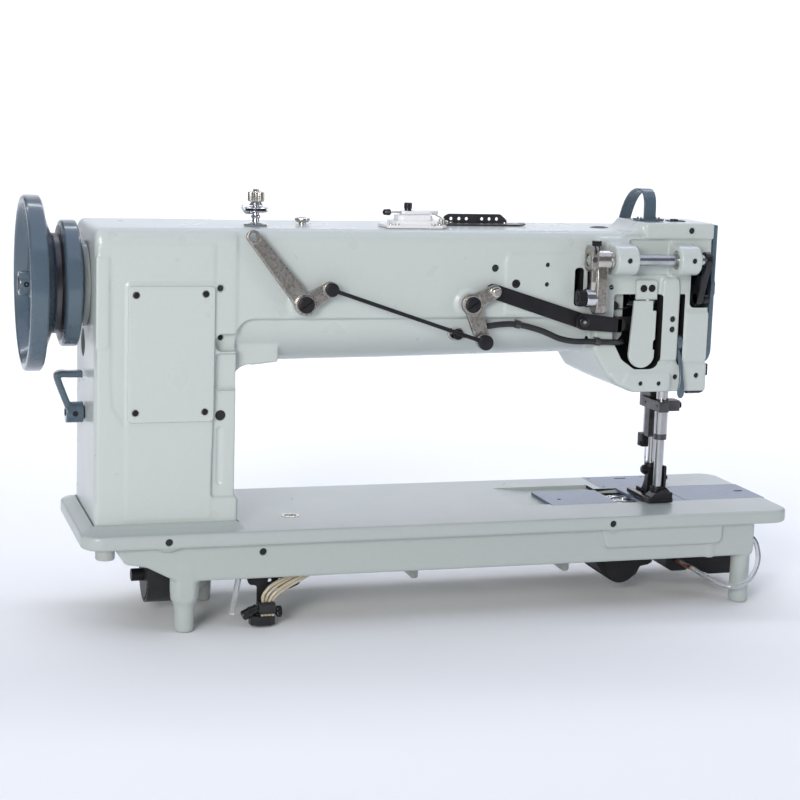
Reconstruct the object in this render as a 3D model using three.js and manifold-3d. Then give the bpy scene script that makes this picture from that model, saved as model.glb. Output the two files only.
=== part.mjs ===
// Long-arm walking-foot sewing machine for leather, head only.
// Millimetres, +Z up. X runs along the arm from the handwheel to the needle,
// Y runs from the back of the machine (-Y) to the operator's side (+Y).
// Inside the machine group Z = 0 is the top of the bed.
import * as THREE from 'three';
import { mergeVertices } from 'three/addons/utils/BufferGeometryUtils.js';
import Module from 'manifold-3d';

const wasm = await Module();
wasm.setup();

// ---------------------------------------------------------------- dimensions
const BED = { x0: -14, x1: 717, y: 94.5, lip: 13.5, plate: 9, bottom: 48.5, skirt: 86, wall: 6, corner: 20 };
const FLOOR = -99.5;                       // underside of the four legs
const COL = { x1: 134, y: 66, top: 284 };  // column
const ARM = { yRear: -66, yFront: 60, ledge: 198.5, belly: 157, x1: 622, top: 284 };
const HEAD = { x0: 498, bottom: 122.5 };
const SHAFT = { z: 226.3, r: 7.5 };        // upper main shaft
const LOWER = { z: -62, r: 6.2 };          // lower shaft
const NEEDLE = { x: 591 };                 // needle axis, y = 0
const WALK_Y = -14, PRESS_Y = -33.4;         // walking bar and presser bar behind it
const ROCK = { y: -80, z: 257.5, r: 5.8 }; // exposed rocking shaft on the back of the head
const LIFT_A = [197.3, 213.8], LIFT_P = [145.9, 277.7], LIFT_B = [221.3, 228.5];
const BELL_C = [363.9, 213.4], BELL_D = [387.1, 225.7], BELL_E = [377.2, 176.7];
const LINK_F = [482.3, 195.4];
const HOOK = { x: 567, r: 21.5 };
const GAP = 0.35;

// ------------------------------------------------------------------- helpers
function clean(geometry) {
  const g = geometry.index ? geometry.toNonIndexed() : geometry.clone();
  for (const k of Object.keys(g.attributes)) if (k !== 'position') g.deleteAttribute(k);
  const m = mergeVertices(g, 1e-4);
  const pos = m.attributes.position.array, idx = m.index.array, keep = [];
  for (let i = 0; i < idx.length; i += 3) {
    const [a, b, c] = [idx[i], idx[i + 1], idx[i + 2]];
    if (a !== b && b !== c && a !== c) keep.push(a, b, c);
  }
  let vol = 0;
  for (let i = 0; i < keep.length; i += 3) {
    const p = keep.slice(i, i + 3).map(k => [pos[3 * k], pos[3 * k + 1], pos[3 * k + 2]]);
    vol += p[0][0] * (p[1][1] * p[2][2] - p[1][2] * p[2][1])
         - p[0][1] * (p[1][0] * p[2][2] - p[1][2] * p[2][0])
         + p[0][2] * (p[1][0] * p[2][1] - p[1][1] * p[2][0]);
  }
  if (vol < 0) for (let i = 0; i < keep.length; i += 3) [keep[i + 1], keep[i + 2]] = [keep[i + 2], keep[i + 1]];
  return { vertProperties: new Float32Array(pos), triVerts: new Uint32Array(keep) };
}
const solid = g => new wasm.Manifold(new wasm.Mesh({ numProp: 3, ...clean(g) }));
function toGeometry(s) {
  const m = s.getMesh();
  const g = new THREE.BufferGeometry();
  g.setAttribute('position', new THREE.BufferAttribute(new Float32Array(m.vertProperties), 3));
  g.setIndex(new THREE.BufferAttribute(new Uint32Array(m.triVerts), 1));
  g.computeVertexNormals();
  return g;
}
const box = (x0, x1, y0, y1, z0, z1) => solid(
  new THREE.BoxGeometry(x1 - x0, y1 - y0, z1 - z0).translate((x0 + x1) / 2, (y0 + y1) / 2, (z0 + z1) / 2));
const shapeOf = pts => new THREE.Shape(pts.map(p => new THREE.Vector2(p[0], p[1])));
function extrude(pts, depth, holes = []) {
  const s = shapeOf(pts);
  for (const h of holes) s.holes.push(new THREE.Path(h.map(p => new THREE.Vector2(p[0], p[1]))));
  return new THREE.ExtrudeGeometry(s, { depth, bevelEnabled: false, curveSegments: 8 });
}
// outlines: prismZ takes (x, y), prismY takes (x, z), prismX takes (y, z)
const prismZ = (pts, z0, z1, holes) => solid(extrude(pts, z1 - z0, holes).translate(0, 0, z0));
const prismY = (pts, y0, y1, holes) => solid(extrude(pts, y1 - y0, holes).rotateX(Math.PI / 2).translate(0, y1, 0));
function prismX(pts, x0, x1, holes) {
  const g = extrude(pts, x1 - x0, holes);
  g.applyMatrix4(new THREE.Matrix4().set(0, 0, 1, x0, 1, 0, 0, 0, 0, 1, 0, 0, 0, 0, 0, 1));
  return solid(g);
}
// turned parts: profile of [position along the axis, radius]
function lathe(profile, n) {
  return new THREE.LatheGeometry(profile.map(p => new THREE.Vector2(Math.max(p[1], 0), p[0])), n);
}
const turnZ = (profile, x, y, n = 20) => solid(lathe(profile, n).rotateX(Math.PI / 2).translate(x, y, 0));
const turnX = (profile, y, z, n = 20) => solid(lathe(profile, n).rotateZ(-Math.PI / 2).translate(0, y, z));
const turnY = (profile, x, z, n = 20) => solid(lathe(profile, n).translate(x, 0, z));
const rod = (a, r) => [[a[0], 0], [a[0], r], [a[1], r], [a[1], 0]];
const ring = (a, ri, ro) => [[a[0], ri], [a[0], ro], [a[1], ro], [a[1], ri], [a[0], ri]];
function bar(p, q, r, n = 10) {           // round bar between two points
  const a = new THREE.Vector3(...p), b = new THREE.Vector3(...q), d = b.clone().sub(a);
  const g = new THREE.CylinderGeometry(r, r, d.length(), n);
  g.applyQuaternion(new THREE.Quaternion().setFromUnitVectors(new THREE.Vector3(0, 1, 0), d.clone().normalize()));
  const c = a.add(b).multiplyScalar(0.5);
  return solid(g.translate(c.x, c.y, c.z));
}
function tube(points, r, steps, n = 8) {  // hose or tube along a smooth route
  const curve = new THREE.CatmullRomCurve3(points.map(p => new THREE.Vector3(...p)), false, 'centripetal');
  const sec = [];
  for (let i = 0; i < n; i++) sec.push([r * Math.cos(2 * Math.PI * i / n), r * Math.sin(2 * Math.PI * i / n)]);
  return solid(new THREE.ExtrudeGeometry(shapeOf(sec), { steps, bevelEnabled: false, extrudePath: curve }));
}
function arc(cx, cy, r, a0, a1, n) {      // points on an arc, degrees
  const out = [];
  for (let i = 0; i <= n; i++) {
    const a = (a0 + (a1 - a0) * i / n) * Math.PI / 180;
    out.push([cx + r * Math.cos(a), cy + r * Math.sin(a)]);
  }
  return out;
}
function roundRect(x0, x1, y0, y1, r, n = 3) {
  return [...arc(x1 - r, y0 + r, r, -90, 0, n), ...arc(x1 - r, y1 - r, r, 0, 90, n),
          ...arc(x0 + r, y1 - r, r, 90, 180, n), ...arc(x0 + r, y0 + r, r, 180, 270, n)];
}
function strap(p, q, r0, r1, n = 8) {     // outline of a link with round ends
  const a = Math.atan2(q[1] - p[1], q[0] - p[0]) * 180 / Math.PI;
  return [...arc(p[0], p[1], r0, a + 90, a + 270, n), ...arc(q[0], q[1], r1, a - 90, a + 90, n)];
}
const union = list => list.reduce((a, b) => a.add(b));

// ------------------------------------------------------------------ materials
const M = {
  enamel: [0xc6cdc7, 0.35, 0.05], slate: [0x52667a, 0.35, 0.1], nickel: [0xa39d94, 0.35, 0.9],
  black: [0x1b1b1f, 0.4, 0.5], steel: [0xa7adb5, 0.28, 1.0], plate: [0x98a4b8, 0.3, 0.9],
  rubber: [0x2a2a2c, 0.8, 0.0], clear: [0xc9ced3, 0.2, 0.0], cream: [0xcfc6a8, 0.5, 0.0],
  white: [0xf1f1ee, 0.45, 0.0], grey: [0x8f9292, 0.6, 0.1], darkgrey: [0x4a4c50, 0.5, 0.3],
};
const machine = new THREE.Group();
function add(name, s, mat) {
  const [color, roughness, metalness] = M[mat];
  const mesh = new THREE.Mesh(toGeometry(s), new THREE.MeshStandardMaterial({ color, roughness, metalness }));
  mesh.name = name;
  machine.add(mesh);
}

// ================================================================ bed casting
{
  const slab = prismZ(roundRect(BED.x0, BED.x1, -BED.y, BED.y, BED.corner, 4), -BED.lip, 0);
  const side = [[18, -5], [18, -16], [27, -29.5], [47, -33], [76.6, -BED.bottom], [680, -BED.bottom], [680, -5]];
  let s = slab.add(prismY(side, -BED.skirt, BED.skirt));
  s = s.subtract(box(26, 674, -BED.skirt + BED.wall, BED.skirt - BED.wall, -60, -BED.plate));
  // raised stiffening pads on both long sides
  s = s.add(box(509, 642, -91, -84, -33, -10)).add(box(509, 642, 84, 91, -33, -10));
  // cross ribs that carry the lower shaft bearings
  for (const x of [110, 330, 496]) {
    let rib = box(x, x + 8, -82, 82, -46, -6).add(box(x, x + 8, -16, 16, -76, -40));
    rib = rib.subtract(turnX(rod([x - 5, x + 13], LOWER.r + GAP), 0, LOWER.z, 16));
    s = s.add(rib);
  }
  // four legs and the short middle leg
  for (const y of [-74, 74]) {
    s = s.add(turnZ([[FLOOR, 0], [FLOOR, 7], [FLOOR + 3, 9.6], [-76, 9.9], [-71, 13.5], [-40, 13.5], [-40, 0]], 85, y, 12));
    s = s.add(turnZ([[FLOOR, 0], [FLOOR, 8.4], [FLOOR + 1.5, 9.8], [-40, 10.2], [-40, 0]], 671, y, 12));
  }
  s = s.add(turnZ([[FLOOR, 0], [FLOOR, 6], [FLOOR + 2, 7.2], [-45, 8.2], [-45, 0]], 124, 30, 12)).add(box(112, 136, 22, 38, -48.5, -6));
  // belt opening under the column, hook opening, ledges for the bed plates
  s = s.subtract(box(30, 108, -34, 34, -20, 5));
  s = s.subtract(box(543, 622, -29, 27, -20, 5));
  s = s.subtract(box(474, 717.5, -33.6, 33.6, -3.4, 5));
  s = s.subtract(prismY([[440, 0.5], [440, -0.1], [474.5, -3.4], [474.5, 0.5]], -28, 54));
  s = s.subtract(box(474, 548, 30, 54, -3.4, 5));
  s = s.subtract(prismZ(roundRect(557.5, 632.5, 35.6, 90.4, 1.5, 1), -3.4, 5));
  // drain and fixing holes in the near side
  for (const [x, z, r] of [[66.6, -7.2, 3.6], [158.7, -22, 3.8], [516.8, -7, 3.4]]) s = s.subtract(turnY(rod([-96, -78], r), x, z, 10));
  add('bed_casting', s, 'enamel');
}

// ================================================================ arm casting
{
  const cut = (s, c) => s.subtract(c);
  // column
  let s = prismZ([[6, -66], [128, -66], [134, -60], [134, 60], [128, 66], [6, 66], [0, 60], [0, -60]], GAP, 276);
  s = s.add(prismX([[-66, 270], [-66, 276], [-58, 284], [52, 284], [60, 276], [66, 270]].map(p => p), 2, 134));
  // foot of the column flares on to the bed
  s = s.add(prismZ([[6, -68], [132, -68], [138, -62], [138, 62], [132, 68], [6, 68], [0, 62], [0, -62]], GAP, 28));
  // upper band of the arm and the rounded belly under the ledge
  s = s.add(prismX([[-66, 198.5], [-66, 276], [-58, 284], [52, 284], [60, 276], [60, 198.5]], 130, 622));
  const belly = [...arc(-2, 199, 58, 190, 350, 8).map(([y, z]) => [y, 199 + (z - 199) * 0.86]), [55, 205], [-58, 205]];
  s = s.add(prismX(belly, 130, 520));
  // round inner corner between column and belly
  s = s.add(prismY([[128, 200], [170, 200], [170, 158], [148, 153], [139, 146], [134, 132], [128, 132]], -52, 48));
  // head
  s = s.add(prismY([[498, 200], [498, 163], [518, 133], [540, 122.5], [622, 122.5], [622, 276], [498, 276]], -66, 60));
  s = s.add(prismX([[-69, 277.6], [-69, 290.5], [-66, 293.5], [0, 293.5], [6, 283], [6, 277.6]], 547, 622));
  s = s.add(box(532, 622, -69, -60, 122.5, 153));
  // lugs of the rocking shaft
  for (const [x0, x1] of [[507.5, 531], [575.5, 598.6]]) {
    s = s.add(prismX([...arc(ROCK.y, ROCK.z, 15, 90, 270, 8), [-60, 242.5], [-60, 272.5]], x0, x1));
    s = s.subtract(turnX(rod([x0 - 3, x1 + 3], ROCK.r + GAP), ROCK.y, ROCK.z, 20));
  }
  s = s.subtract(turnX(rod([572, 579.6], 9.2), ROCK.y, ROCK.z, 20));
  // recess round the rocking shaft
  s = s.subtract(box(531, 575.5, -70, -63.5, 241, 277));
  // raised rear pad for the cover
  s = s.add(prismY([[111, 286 - 28], [14, 258], [14, 96], [112, 96]], -67.5, -60));
  // hollow column, arm and head
  s = cut(s, box(28, 110, -36, 40, -5, 266));
  s = cut(s, box(100, 500, -34, 38, 170, 262));
  s = cut(s, prismY([[494, 262], [494, 173], [504.5, 167.5], [523, 141.5], [543, 134], [630, 134], [630, 262]], -52, 46));
  s = cut(s, box(38.5, 103.5, -75, -30, 112, 221));            // rear hand hole
  s = cut(s, turnX(rod([-20, 40], 24), 0, SHAFT.z, 20));        // main bearing seat
  s = cut(s, turnX(rod([-20, 40], 13.5), 15, 167.5, 16));       // oil sight opening in the end wall
  s = cut(s, turnX(rod([-20, 40], 6.2 + GAP), 5, 101, 14));     // bore of the back-tack lever
  // webs inside the arm carry the main shaft
  for (const x of [150, 330, 486]) s = s.add(box(x, x + 8, -36, 40, 168, 264));
  for (const x of [150, 330, 486]) s = cut(s, turnX(rod([x - 6, x + 14], SHAFT.r + GAP), 0, SHAFT.z, 18));
  // openings in the rear wall of the head
  s = cut(s, prismY(roundRect(473.3, 482.8, 210.4, 248.6, 2, 1), -75, -30));
  s = cut(s, prismY(roundRect(517, 569, 145, 222, 8, 2), -75, -45));
  s = cut(s, prismY(roundRect(600, 630, 208, 246, 3, 1), -75, -45));
  s = cut(s, box(588.3, 596.3, -75, -50, 150, 222));
  // sole of the head: way for the needle-bar frame, walking bar and presser bar
  s = cut(s, box(581.5, 605, -24, 11.5, 80, 140));
  s = cut(s, turnZ(rod([80, 140], 6.1 + GAP), NEEDLE.x, PRESS_Y, 18));
  // take-up slot in the operator's wall
  s = cut(s, prismY(roundRect(603.5, 613, 176, 256, 4, 2), 30, 75));
  // slot in the rear pocket and holes
  s = cut(s, prismY(roundRect(112.7, 136, 168.2, 185.4, 7, 2), -75, -58));
  for (const [x, z, r] of [[117.5, 228.4, 3], [119.5, 107.1, 5], [390.2, 247.7, 4], [444.5, 251.2, 2.5], [444.4, 231.9, 2.5], [582, 196.7, 3.4], [582, 186.5, 3.4]])
    s = cut(s, turnY(rod([-75, -46], r), x, z, 8));
  // bores for the two crank studs, the tension post, the winder and the dial
  s = cut(s, turnZ(rod([258, 300], 3.35), 311, -25, 10));
  s = cut(s, turnY(rod([-75, -50], 4.35), LIFT_A[0], LIFT_A[1], 12));
  s = cut(s, turnY(rod([-75, -50], 4.35), BELL_C[0], BELL_C[1], 12));
  s = cut(s, turnZ(rod([258, 300], 3.35), 158, -28, 10));
  s = cut(s, turnY(rod([50, 75], 6.35), 62, 150, 14));
  s = cut(s, turnY(rod([45, 75], 4.35), 560, 206, 12));
  s = cut(s, turnY(rod([-75, -54], 4.4), 374, 188.2, 10));        // hose entry
  add('arm_casting', s, 'enamel');
}

// ================================================================ fixed pieces
add('column_rear_cover', prismY(roundRect(30.3, 111.4, 102.8, 230.8, 4, 2), -70.6, -67.85), 'enamel');
add('main_bearing_housing', turnX([[-8, 7.85], [-8, 36], [-6, 40.5], [-GAP, 40.5], [-GAP, 23.6], [30, 23.6], [30, 7.85], [-8, 7.85]], 0, SHAFT.z, 20), 'enamel');
{
  const outline = [[-66, 292], [-66, 166], ...arc(-50, 166, 16, 180, 270, 3), ...arc(44, 166, 16, 270, 360, 3), [60, 280], [50, 288], [6, 292]];
  let s = prismX(outline, 622.35, 627.5);
  s = s.add(turnX(ring([613, 623], 5.35, 9), 0, 250, 16)).add(turnX(ring([615, 623], 5.35, 9), 32, 226, 16));
  add('face_plate', s, 'slate');
}
add('spring_cover', prismY([[539.6, 236.2], [538, 216], [534.7, 161.6], ...arc(548.7, 161.6, 14, 180, 360, 8), [562.7, 176], [562.4, 236.2]], -69.7, -66.35), 'enamel');
{
  let s = box(574.2, 624.5, -33.2, 33.2, -3, 0);
  s = s.subtract(prismZ(roundRect(582, 600.5, -20.5, 17.5, 1.5, 1), -5, 2));
  add('needle_plate', s, 'plate');
}
add('front_bed_plate', prismZ(roundRect(557.9, 632.1, 36, 90, 1.5, 1), -3, 0), 'plate');
{
  // bushing under the head with the steel bracket clamped round it
  let s = prismZ([[581, -50], [591.7, -50], [591.7, -42.3], [607.8, -42.3], [607.8, -27.5], [601, -24.9], [583.6, -24.9], [583.6, -4.8], [581, -4.8]], 97.3, 108.3);
  s = s.add(turnZ([[66.5, 0], [66.5, 6.8], [104, 6.8], [104, 6.1], [132, 6.1], [132, 0]], NEEDLE.x, PRESS_Y, 20));
  s = s.subtract(turnZ(rod([60, 140], 4.8 + GAP), NEEDLE.x, PRESS_Y, 20));
  add('presser_bar_bushing', s, 'darkgrey');
}
{
  const pts = [];
  for (let i = 0; i <= 48; i++) {
    const a = i * Math.PI / 4.6;
    pts.push([NEEDLE.x + 6 * Math.cos(a), PRESS_Y + 6 * Math.sin(a), 220 + 38 * i / 48]);
  }
  add('presser_spring', tube(pts, 1.2, 46, 5), 'steel');
}
{
  let s = prismZ([[352, -6], [437, -6], [437, 16], [431, 18], [361, 18], [352, 16]], 284.35, 285.7);
  let wall = prismY([[361, 285], [431, 285], [431, 292], [429, 294.5], [363, 294.5], [361, 292]], 16.6, 18);
  for (const x of [370, 378.5, 386.5, 403, 411, 419]) wall = wall.subtract(turnY(rod([12, 22], 1.7), x, 289.6, 6));
  add('spool_tray_bracket', s.add(wall), 'darkgrey');
}
{
  // arched strap over the take-up slot, seen along X
  const line = [[-42.5, 296], [-42.5, 313], [-40, 319.5], [-34.5, 323], [-26, 324.2], [-16, 323.6], [-7, 320.6], [1.5, 315], [9, 307.5], [15, 299], [19.5, 290.5], [22, 284.6]];
  const t = 1.3, L = [], R = [];
  line.forEach((p, i) => {
    const a = line[Math.max(i - 1, 0)], b = line[Math.min(i + 1, line.length - 1)];
    const d = [b[0] - a[0], b[1] - a[1]], n = Math.hypot(...d);
    L.push([p[0] - d[1] / n * t, p[1] + d[0] / n * t]);
    R.push([p[0] + d[1] / n * t, p[1] - d[0] / n * t]);
  });
  let s = prismX([...L, ...R.reverse()], 555, 568);
  s = s.add(prismZ([[548, -50], [572, -50], [575, -47], [575, -39], [572, -36], [548, -36], [545, -39], [545, -47]], 293.9, 296.4));
  add('take_up_guard', s, 'slate');
}
add('winder_base', prismZ([[284, -48], [340, -48], [346, -42], [346, -14], [340, -8], [290, -8], [284, -14]], 284.35, 288)
  .add(prismZ([[298, -40], [334, -40], [340, -34], [340, -18], [334, -12], [298, -12], [292, -18], [292, -34]], 287, 297))
  .subtract(turnZ(rod([280, 300], 3.35), 311, -25, 12)), 'white');
add('thread_post', turnZ([[262, 0], [262, 3], [284.35, 3], [284.35, 11.2], [286.4, 11.2], [288, 7.5], [288.2, 3], [297, 3], [297, 10.5], [298.4, 12.2], [301.6, 12.2], [303, 10.5], [303, 3], [319, 3], [319, 0]], 158, -28, 18), 'steel');
add('thread_tension', turnY([[48, 0], [48, 4], [60.4, 4], [60.4, 10], [63, 10], [63, 4], [65, 4], [64, 14], [66, 15.5], [68, 14], [69, 4], [92, 4], [92, 0]], 560, 206, 18), 'steel');
add('lift_crank_stud', turnY([[-80.8, 0], [-80.8, 6.4], [-79.6, 7.8], [-76.4, 7.8], [-76.4, 5.95], [-66.35, 5.95], [-66.35, 4], [-52, 4], [-52, 0]], ...LIFT_A, 18), 'black');
add('bell_crank_stud', turnY([[-80.8, 0], [-80.8, 6.4], [-79.6, 7.8], [-76.4, 7.8], [-76.4, 5.95], [-66.35, 5.95], [-66.35, 4], [-52, 4], [-52, 0]], ...BELL_C, 18), 'black');
add('rear_hose', tube([[374, -56, 188], [375.5, -61, 188.4], [381, -64.6, 190], [398, -65, 192.4], [415, -65, 192.2], [441.6, -65, 185.5], [460, -66, 178], [474, -68.5, 175.4], [490, -70, 175.2], [512, -70.4, 174.4], [523, -67.5, 173.6], [531, -57.5, 172.5]], 3, 24, 8), 'rubber');
{
  // toothed belt between the two shafts, flat loop round both sprockets
  const outer = [...arc(0, SHAFT.z, 27.4, 0, 180, 12), ...arc(0, LOWER.z, 27.4, 180, 360, 12)];
  const inner = [...arc(0, SHAFT.z, 24.9, 0, 180, 12), ...arc(0, LOWER.z, 24.9, 180, 360, 12)];
  add('timing_belt', prismX(outer, 58, 84, [inner.reverse()]), 'rubber');
}
{
  // open gear case under the hook, round the lower shaft
  let s = prismY([[529, -66], [529, -32], [593, -32], [593, -76], [588, -82], [574, -84], [570, -90], [566, -93], [545, -93], [540, -90]], -29, 29);
  s = s.subtract(box(536, 587, -25.5, 25.5, -88, -20).subtract(box(570, 590, -30, 30, -90, -80)));
  s = s.subtract(turnX(rod([520, 540], LOWER.r + GAP), 0, LOWER.z, 16));
  add('hook_gear_case', s, 'black');
}
{
  let s = prismY([[640, -9.4], [666, -9.4], [666, -49], [700, -49], [703, -55], [703, -88], [699, -91.5], [662, -91.5], [655, -88], [644, -80], [640, -80], [634, -85.5], [618, -85.5], [612, -80], [612, -62], [640, -50]], -24, 24);
  s = s.subtract(box(646, 660, -18, 18, -84, -5));
  add('feed_gear_case', s, 'black');
}
{
  // bracket that hangs the oil distributor under the bed
  let s = prismY([[147, -50], [152, -44], [150, -9.4], [205, -9.4], [205, -50], [200, -62], [190, -66], [170, -64], [169, -84], [158, -84], [158, -61], [150, -60]], -64.5, -62);
  s = s.add(box(150, 205, -64.5, -52, -11.4, -9.4));
  add('oil_bracket', s, 'black');
}
{
  let s = prismZ([[150, -76], [156, -80], [168, -80], [174, -76], [174, -66], [170, -65.2], [152, -65.2], [149, -69]], -97.5, -88);
  s = s.add(box(158.5, 174, -76, -65.2, -90, -75.5)).add(turnX(rod([173, 181], 5.6), -71, -86, 10));
  s = s.add(bar([157, -71.5, -82], [142, -71.5, -89], 5.4, 10));
  add('oil_distributor', s, 'black');
}
{
  const left = [[161.2, -75.1], [162.6, -70], [168.6, -61.6], [176.4, -56.4], [185.3, -52], [215, -38], [236, -22]];
  const right = [[246, -29], [222, -45], [200, -55.5], [188.4, -61.5], [178, -68.5], [173.6, -75.1]];
  add('oil_tube_bundle', prismY([...left, ...right], -72.6, -68.6), 'cream');
}
add('drain_tube', tube([[150, -50, -14], [147, -54, -34], [141.5, -58, -52], [139, -58, -66], [135, -58, -90]], 2.9, 14, 8), 'clear');
add('return_tube', tube([[622, -26, -66], [631, -45, -71], [640, -68, -76.5], [651, -88, -80], [662, -92.5, -79], [671, -92.5, -74.5], [679, -91, -66], [685, -87, -55], [688.5, -78, -44], [688.5, -68, -36], [684.5, -60, -33]], 2.6, 34, 8), 'clear');
add('bobbin_case', turnZ([[-18.4, 0], [-18.4, 15.6], [-8, 15.6], [-8, 16.4], [-4.6, 16.4], [-4.6, 5], [-7, 4], [-7, 0]], HOOK.x, 0, 24), 'steel');

// ================================================================ upper drive
add('handwheel', turnX([[-62.6, 7.85], [-62.6, 11.2], [-50.5, 12.5], [-46, 45], [-46, 70], [-59.3, 77], [-59.3, 81.5], [-57.8, 83], [-44, 83], [-42, 72], [-34, 49], [-31.5, 47.3], [-27.5, 47.3], [-24.3, 58.5], [-22.5, 60], [-9.5, 60], [-9.5, 7.85], [-62.6, 7.85]], 0, SHAFT.z, 32), 'slate');
add('main_shaft', turnX(rod([-60, 569], SHAFT.r), 0, SHAFT.z, 18), 'steel');
add('upper_sprocket', turnX([[52, 7.85], [52, 15], [56, 15], [57.5, 24.5], [84.5, 24.5], [84.5, 29.5], [86.5, 29.5], [86.5, 7.85], [52, 7.85]], 0, SHAFT.z, 24), 'darkgrey');
add('needle_crank', turnX(ring([552, 566], 7.85, 27), 0, SHAFT.z, 24).add(turnX(rod([565, 577], 4.5), 0, SHAFT.z + 17, 12)), 'steel');
// ================================================================ lower drive
add('lower_shaft', turnX(rod([40, 548], LOWER.r), 0, LOWER.z, 14), 'steel');
add('lower_sprocket', turnX([[57.5, 6.55], [57.5, 24.5], [84.5, 24.5], [84.5, 28.6], [86.5, 28.6], [86.5, 6.55], [57.5, 6.55]], 0, LOWER.z, 24), 'darkgrey');
add('hook_drive_gear', turnX([[543, 6.55], [543, 17], [549.5, 22.8], [555.8, 19.2], [551.5, 12], [551.5, 6.55], [543, 6.55]], 0, LOWER.z, 20), 'steel');
{
  let s = turnZ([[-42, 0], [-41.2, 9.4], [-34.5, 12.4], [-33.5, 5], [-22, 5], [-22, 17], [-20, HOOK.r - 1], [-17, HOOK.r], [-4, HOOK.r], [-4, 16.9], [-19, 16.9], [-19, 0]], HOOK.x, 0, 24);
  add('rotary_hook', s, 'steel');
}
// ================================================================ needle unit
{
  const x = NEEDLE.x;
  let s = box(598.5, 603.5, -20, 6, 92, 256);
  s = s.add(prismX([[6.5, 96], [6.5, 118], [-19.3, 118], [-19.3, 66], [-8.4, 66], [-8.4, 96]], 584, 599.5));
  s = s.add(box(584, 599.5, -6.5, 6.2, 190, 204)).add(box(584, 599.5, -19.3, -8.4, 140, 150));
  s = s.add(turnX(rod([600, 621], 5), 0, 250, 14)).add(turnX(rod([597.6, 605], 9), 0, 250, 14));
  s = s.subtract(turnZ(rod([90, 210], 4 + GAP), x, 0, 16)).subtract(turnZ(rod([60, 155], 3.6 + GAP), x, WALK_Y, 14));
  add('needle_bar_frame', s, 'darkgrey');
  let nb = turnZ([[52, 0], [52, 4], [238, 4], [238, 0]], x, 0, 16);
  nb = nb.add(turnZ(rod([53, 66], 6.4), x, 0, 16)).add(turnX(rod([581, 588], 2.6), 0, 58, 8));
  nb = nb.subtract(turnZ(rod([50, 60.35], 1.15 + GAP), x, 0, 8));
  add('needle_bar', nb, 'steel');
  add('needle', turnZ([[20.5, 0], [23, 0.7], [38, 0.8], [40, 1.15], [60, 1.15], [60, 0]], x, 0, 8), 'steel');
  add('walking_bar', turnZ(rod([37.5, 152], 3.6), x, WALK_Y, 14), 'steel');
  let wf = box(586.5, 595.5, -18.4, -9.6, 8, 37.15).add(box(586.5, 595.5, -18.4, 8.5, 1.2, 8.2));
  wf = wf.add(prismX([[-10, 8], [-10, 24], [-5.5, 10], [-2.5, 8]], 588, 594));
  wf = wf.subtract(turnZ(rod([0, 9], 2.3), x, 0, 8));
  add('walking_foot', wf, 'black');
}
// ================================================================ presser unit
{
  const x = NEEDLE.x;
  add('presser_bar', turnZ(rod([12, 200], 4.8), x, PRESS_Y, 16), 'steel');
  let pf = box(584.4, 597.6, PRESS_Y - 7, PRESS_Y + 7, 8, 17).add(box(596.2, 598.8, PRESS_Y - 4.5, PRESS_Y + 4.5, 8, 38));
  pf = pf.add(turnX(rod([598, 601.4], 2.4), PRESS_Y, 25.5, 10));
  pf = pf.add(prismZ([[577, -44], [605, -44], [605, 12], [602.5, 15], [599, 15], [597.2, 12], [597.2, -25.5], [584.8, -25.5], [584.8, 12], [583, 15], [579.5, 15], [577, 12]], 0.6, 5.5));
  pf = pf.add(prismX([[-44, 4], [-44, 8], [-41, 12], [-26.4, 12], [-26.4, 4]], 579, 603));
  pf = pf.subtract(turnZ(rod([11.6, 40], 4.8 + GAP), x, PRESS_Y, 16));
  add('presser_foot', pf, 'black');
}
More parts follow.
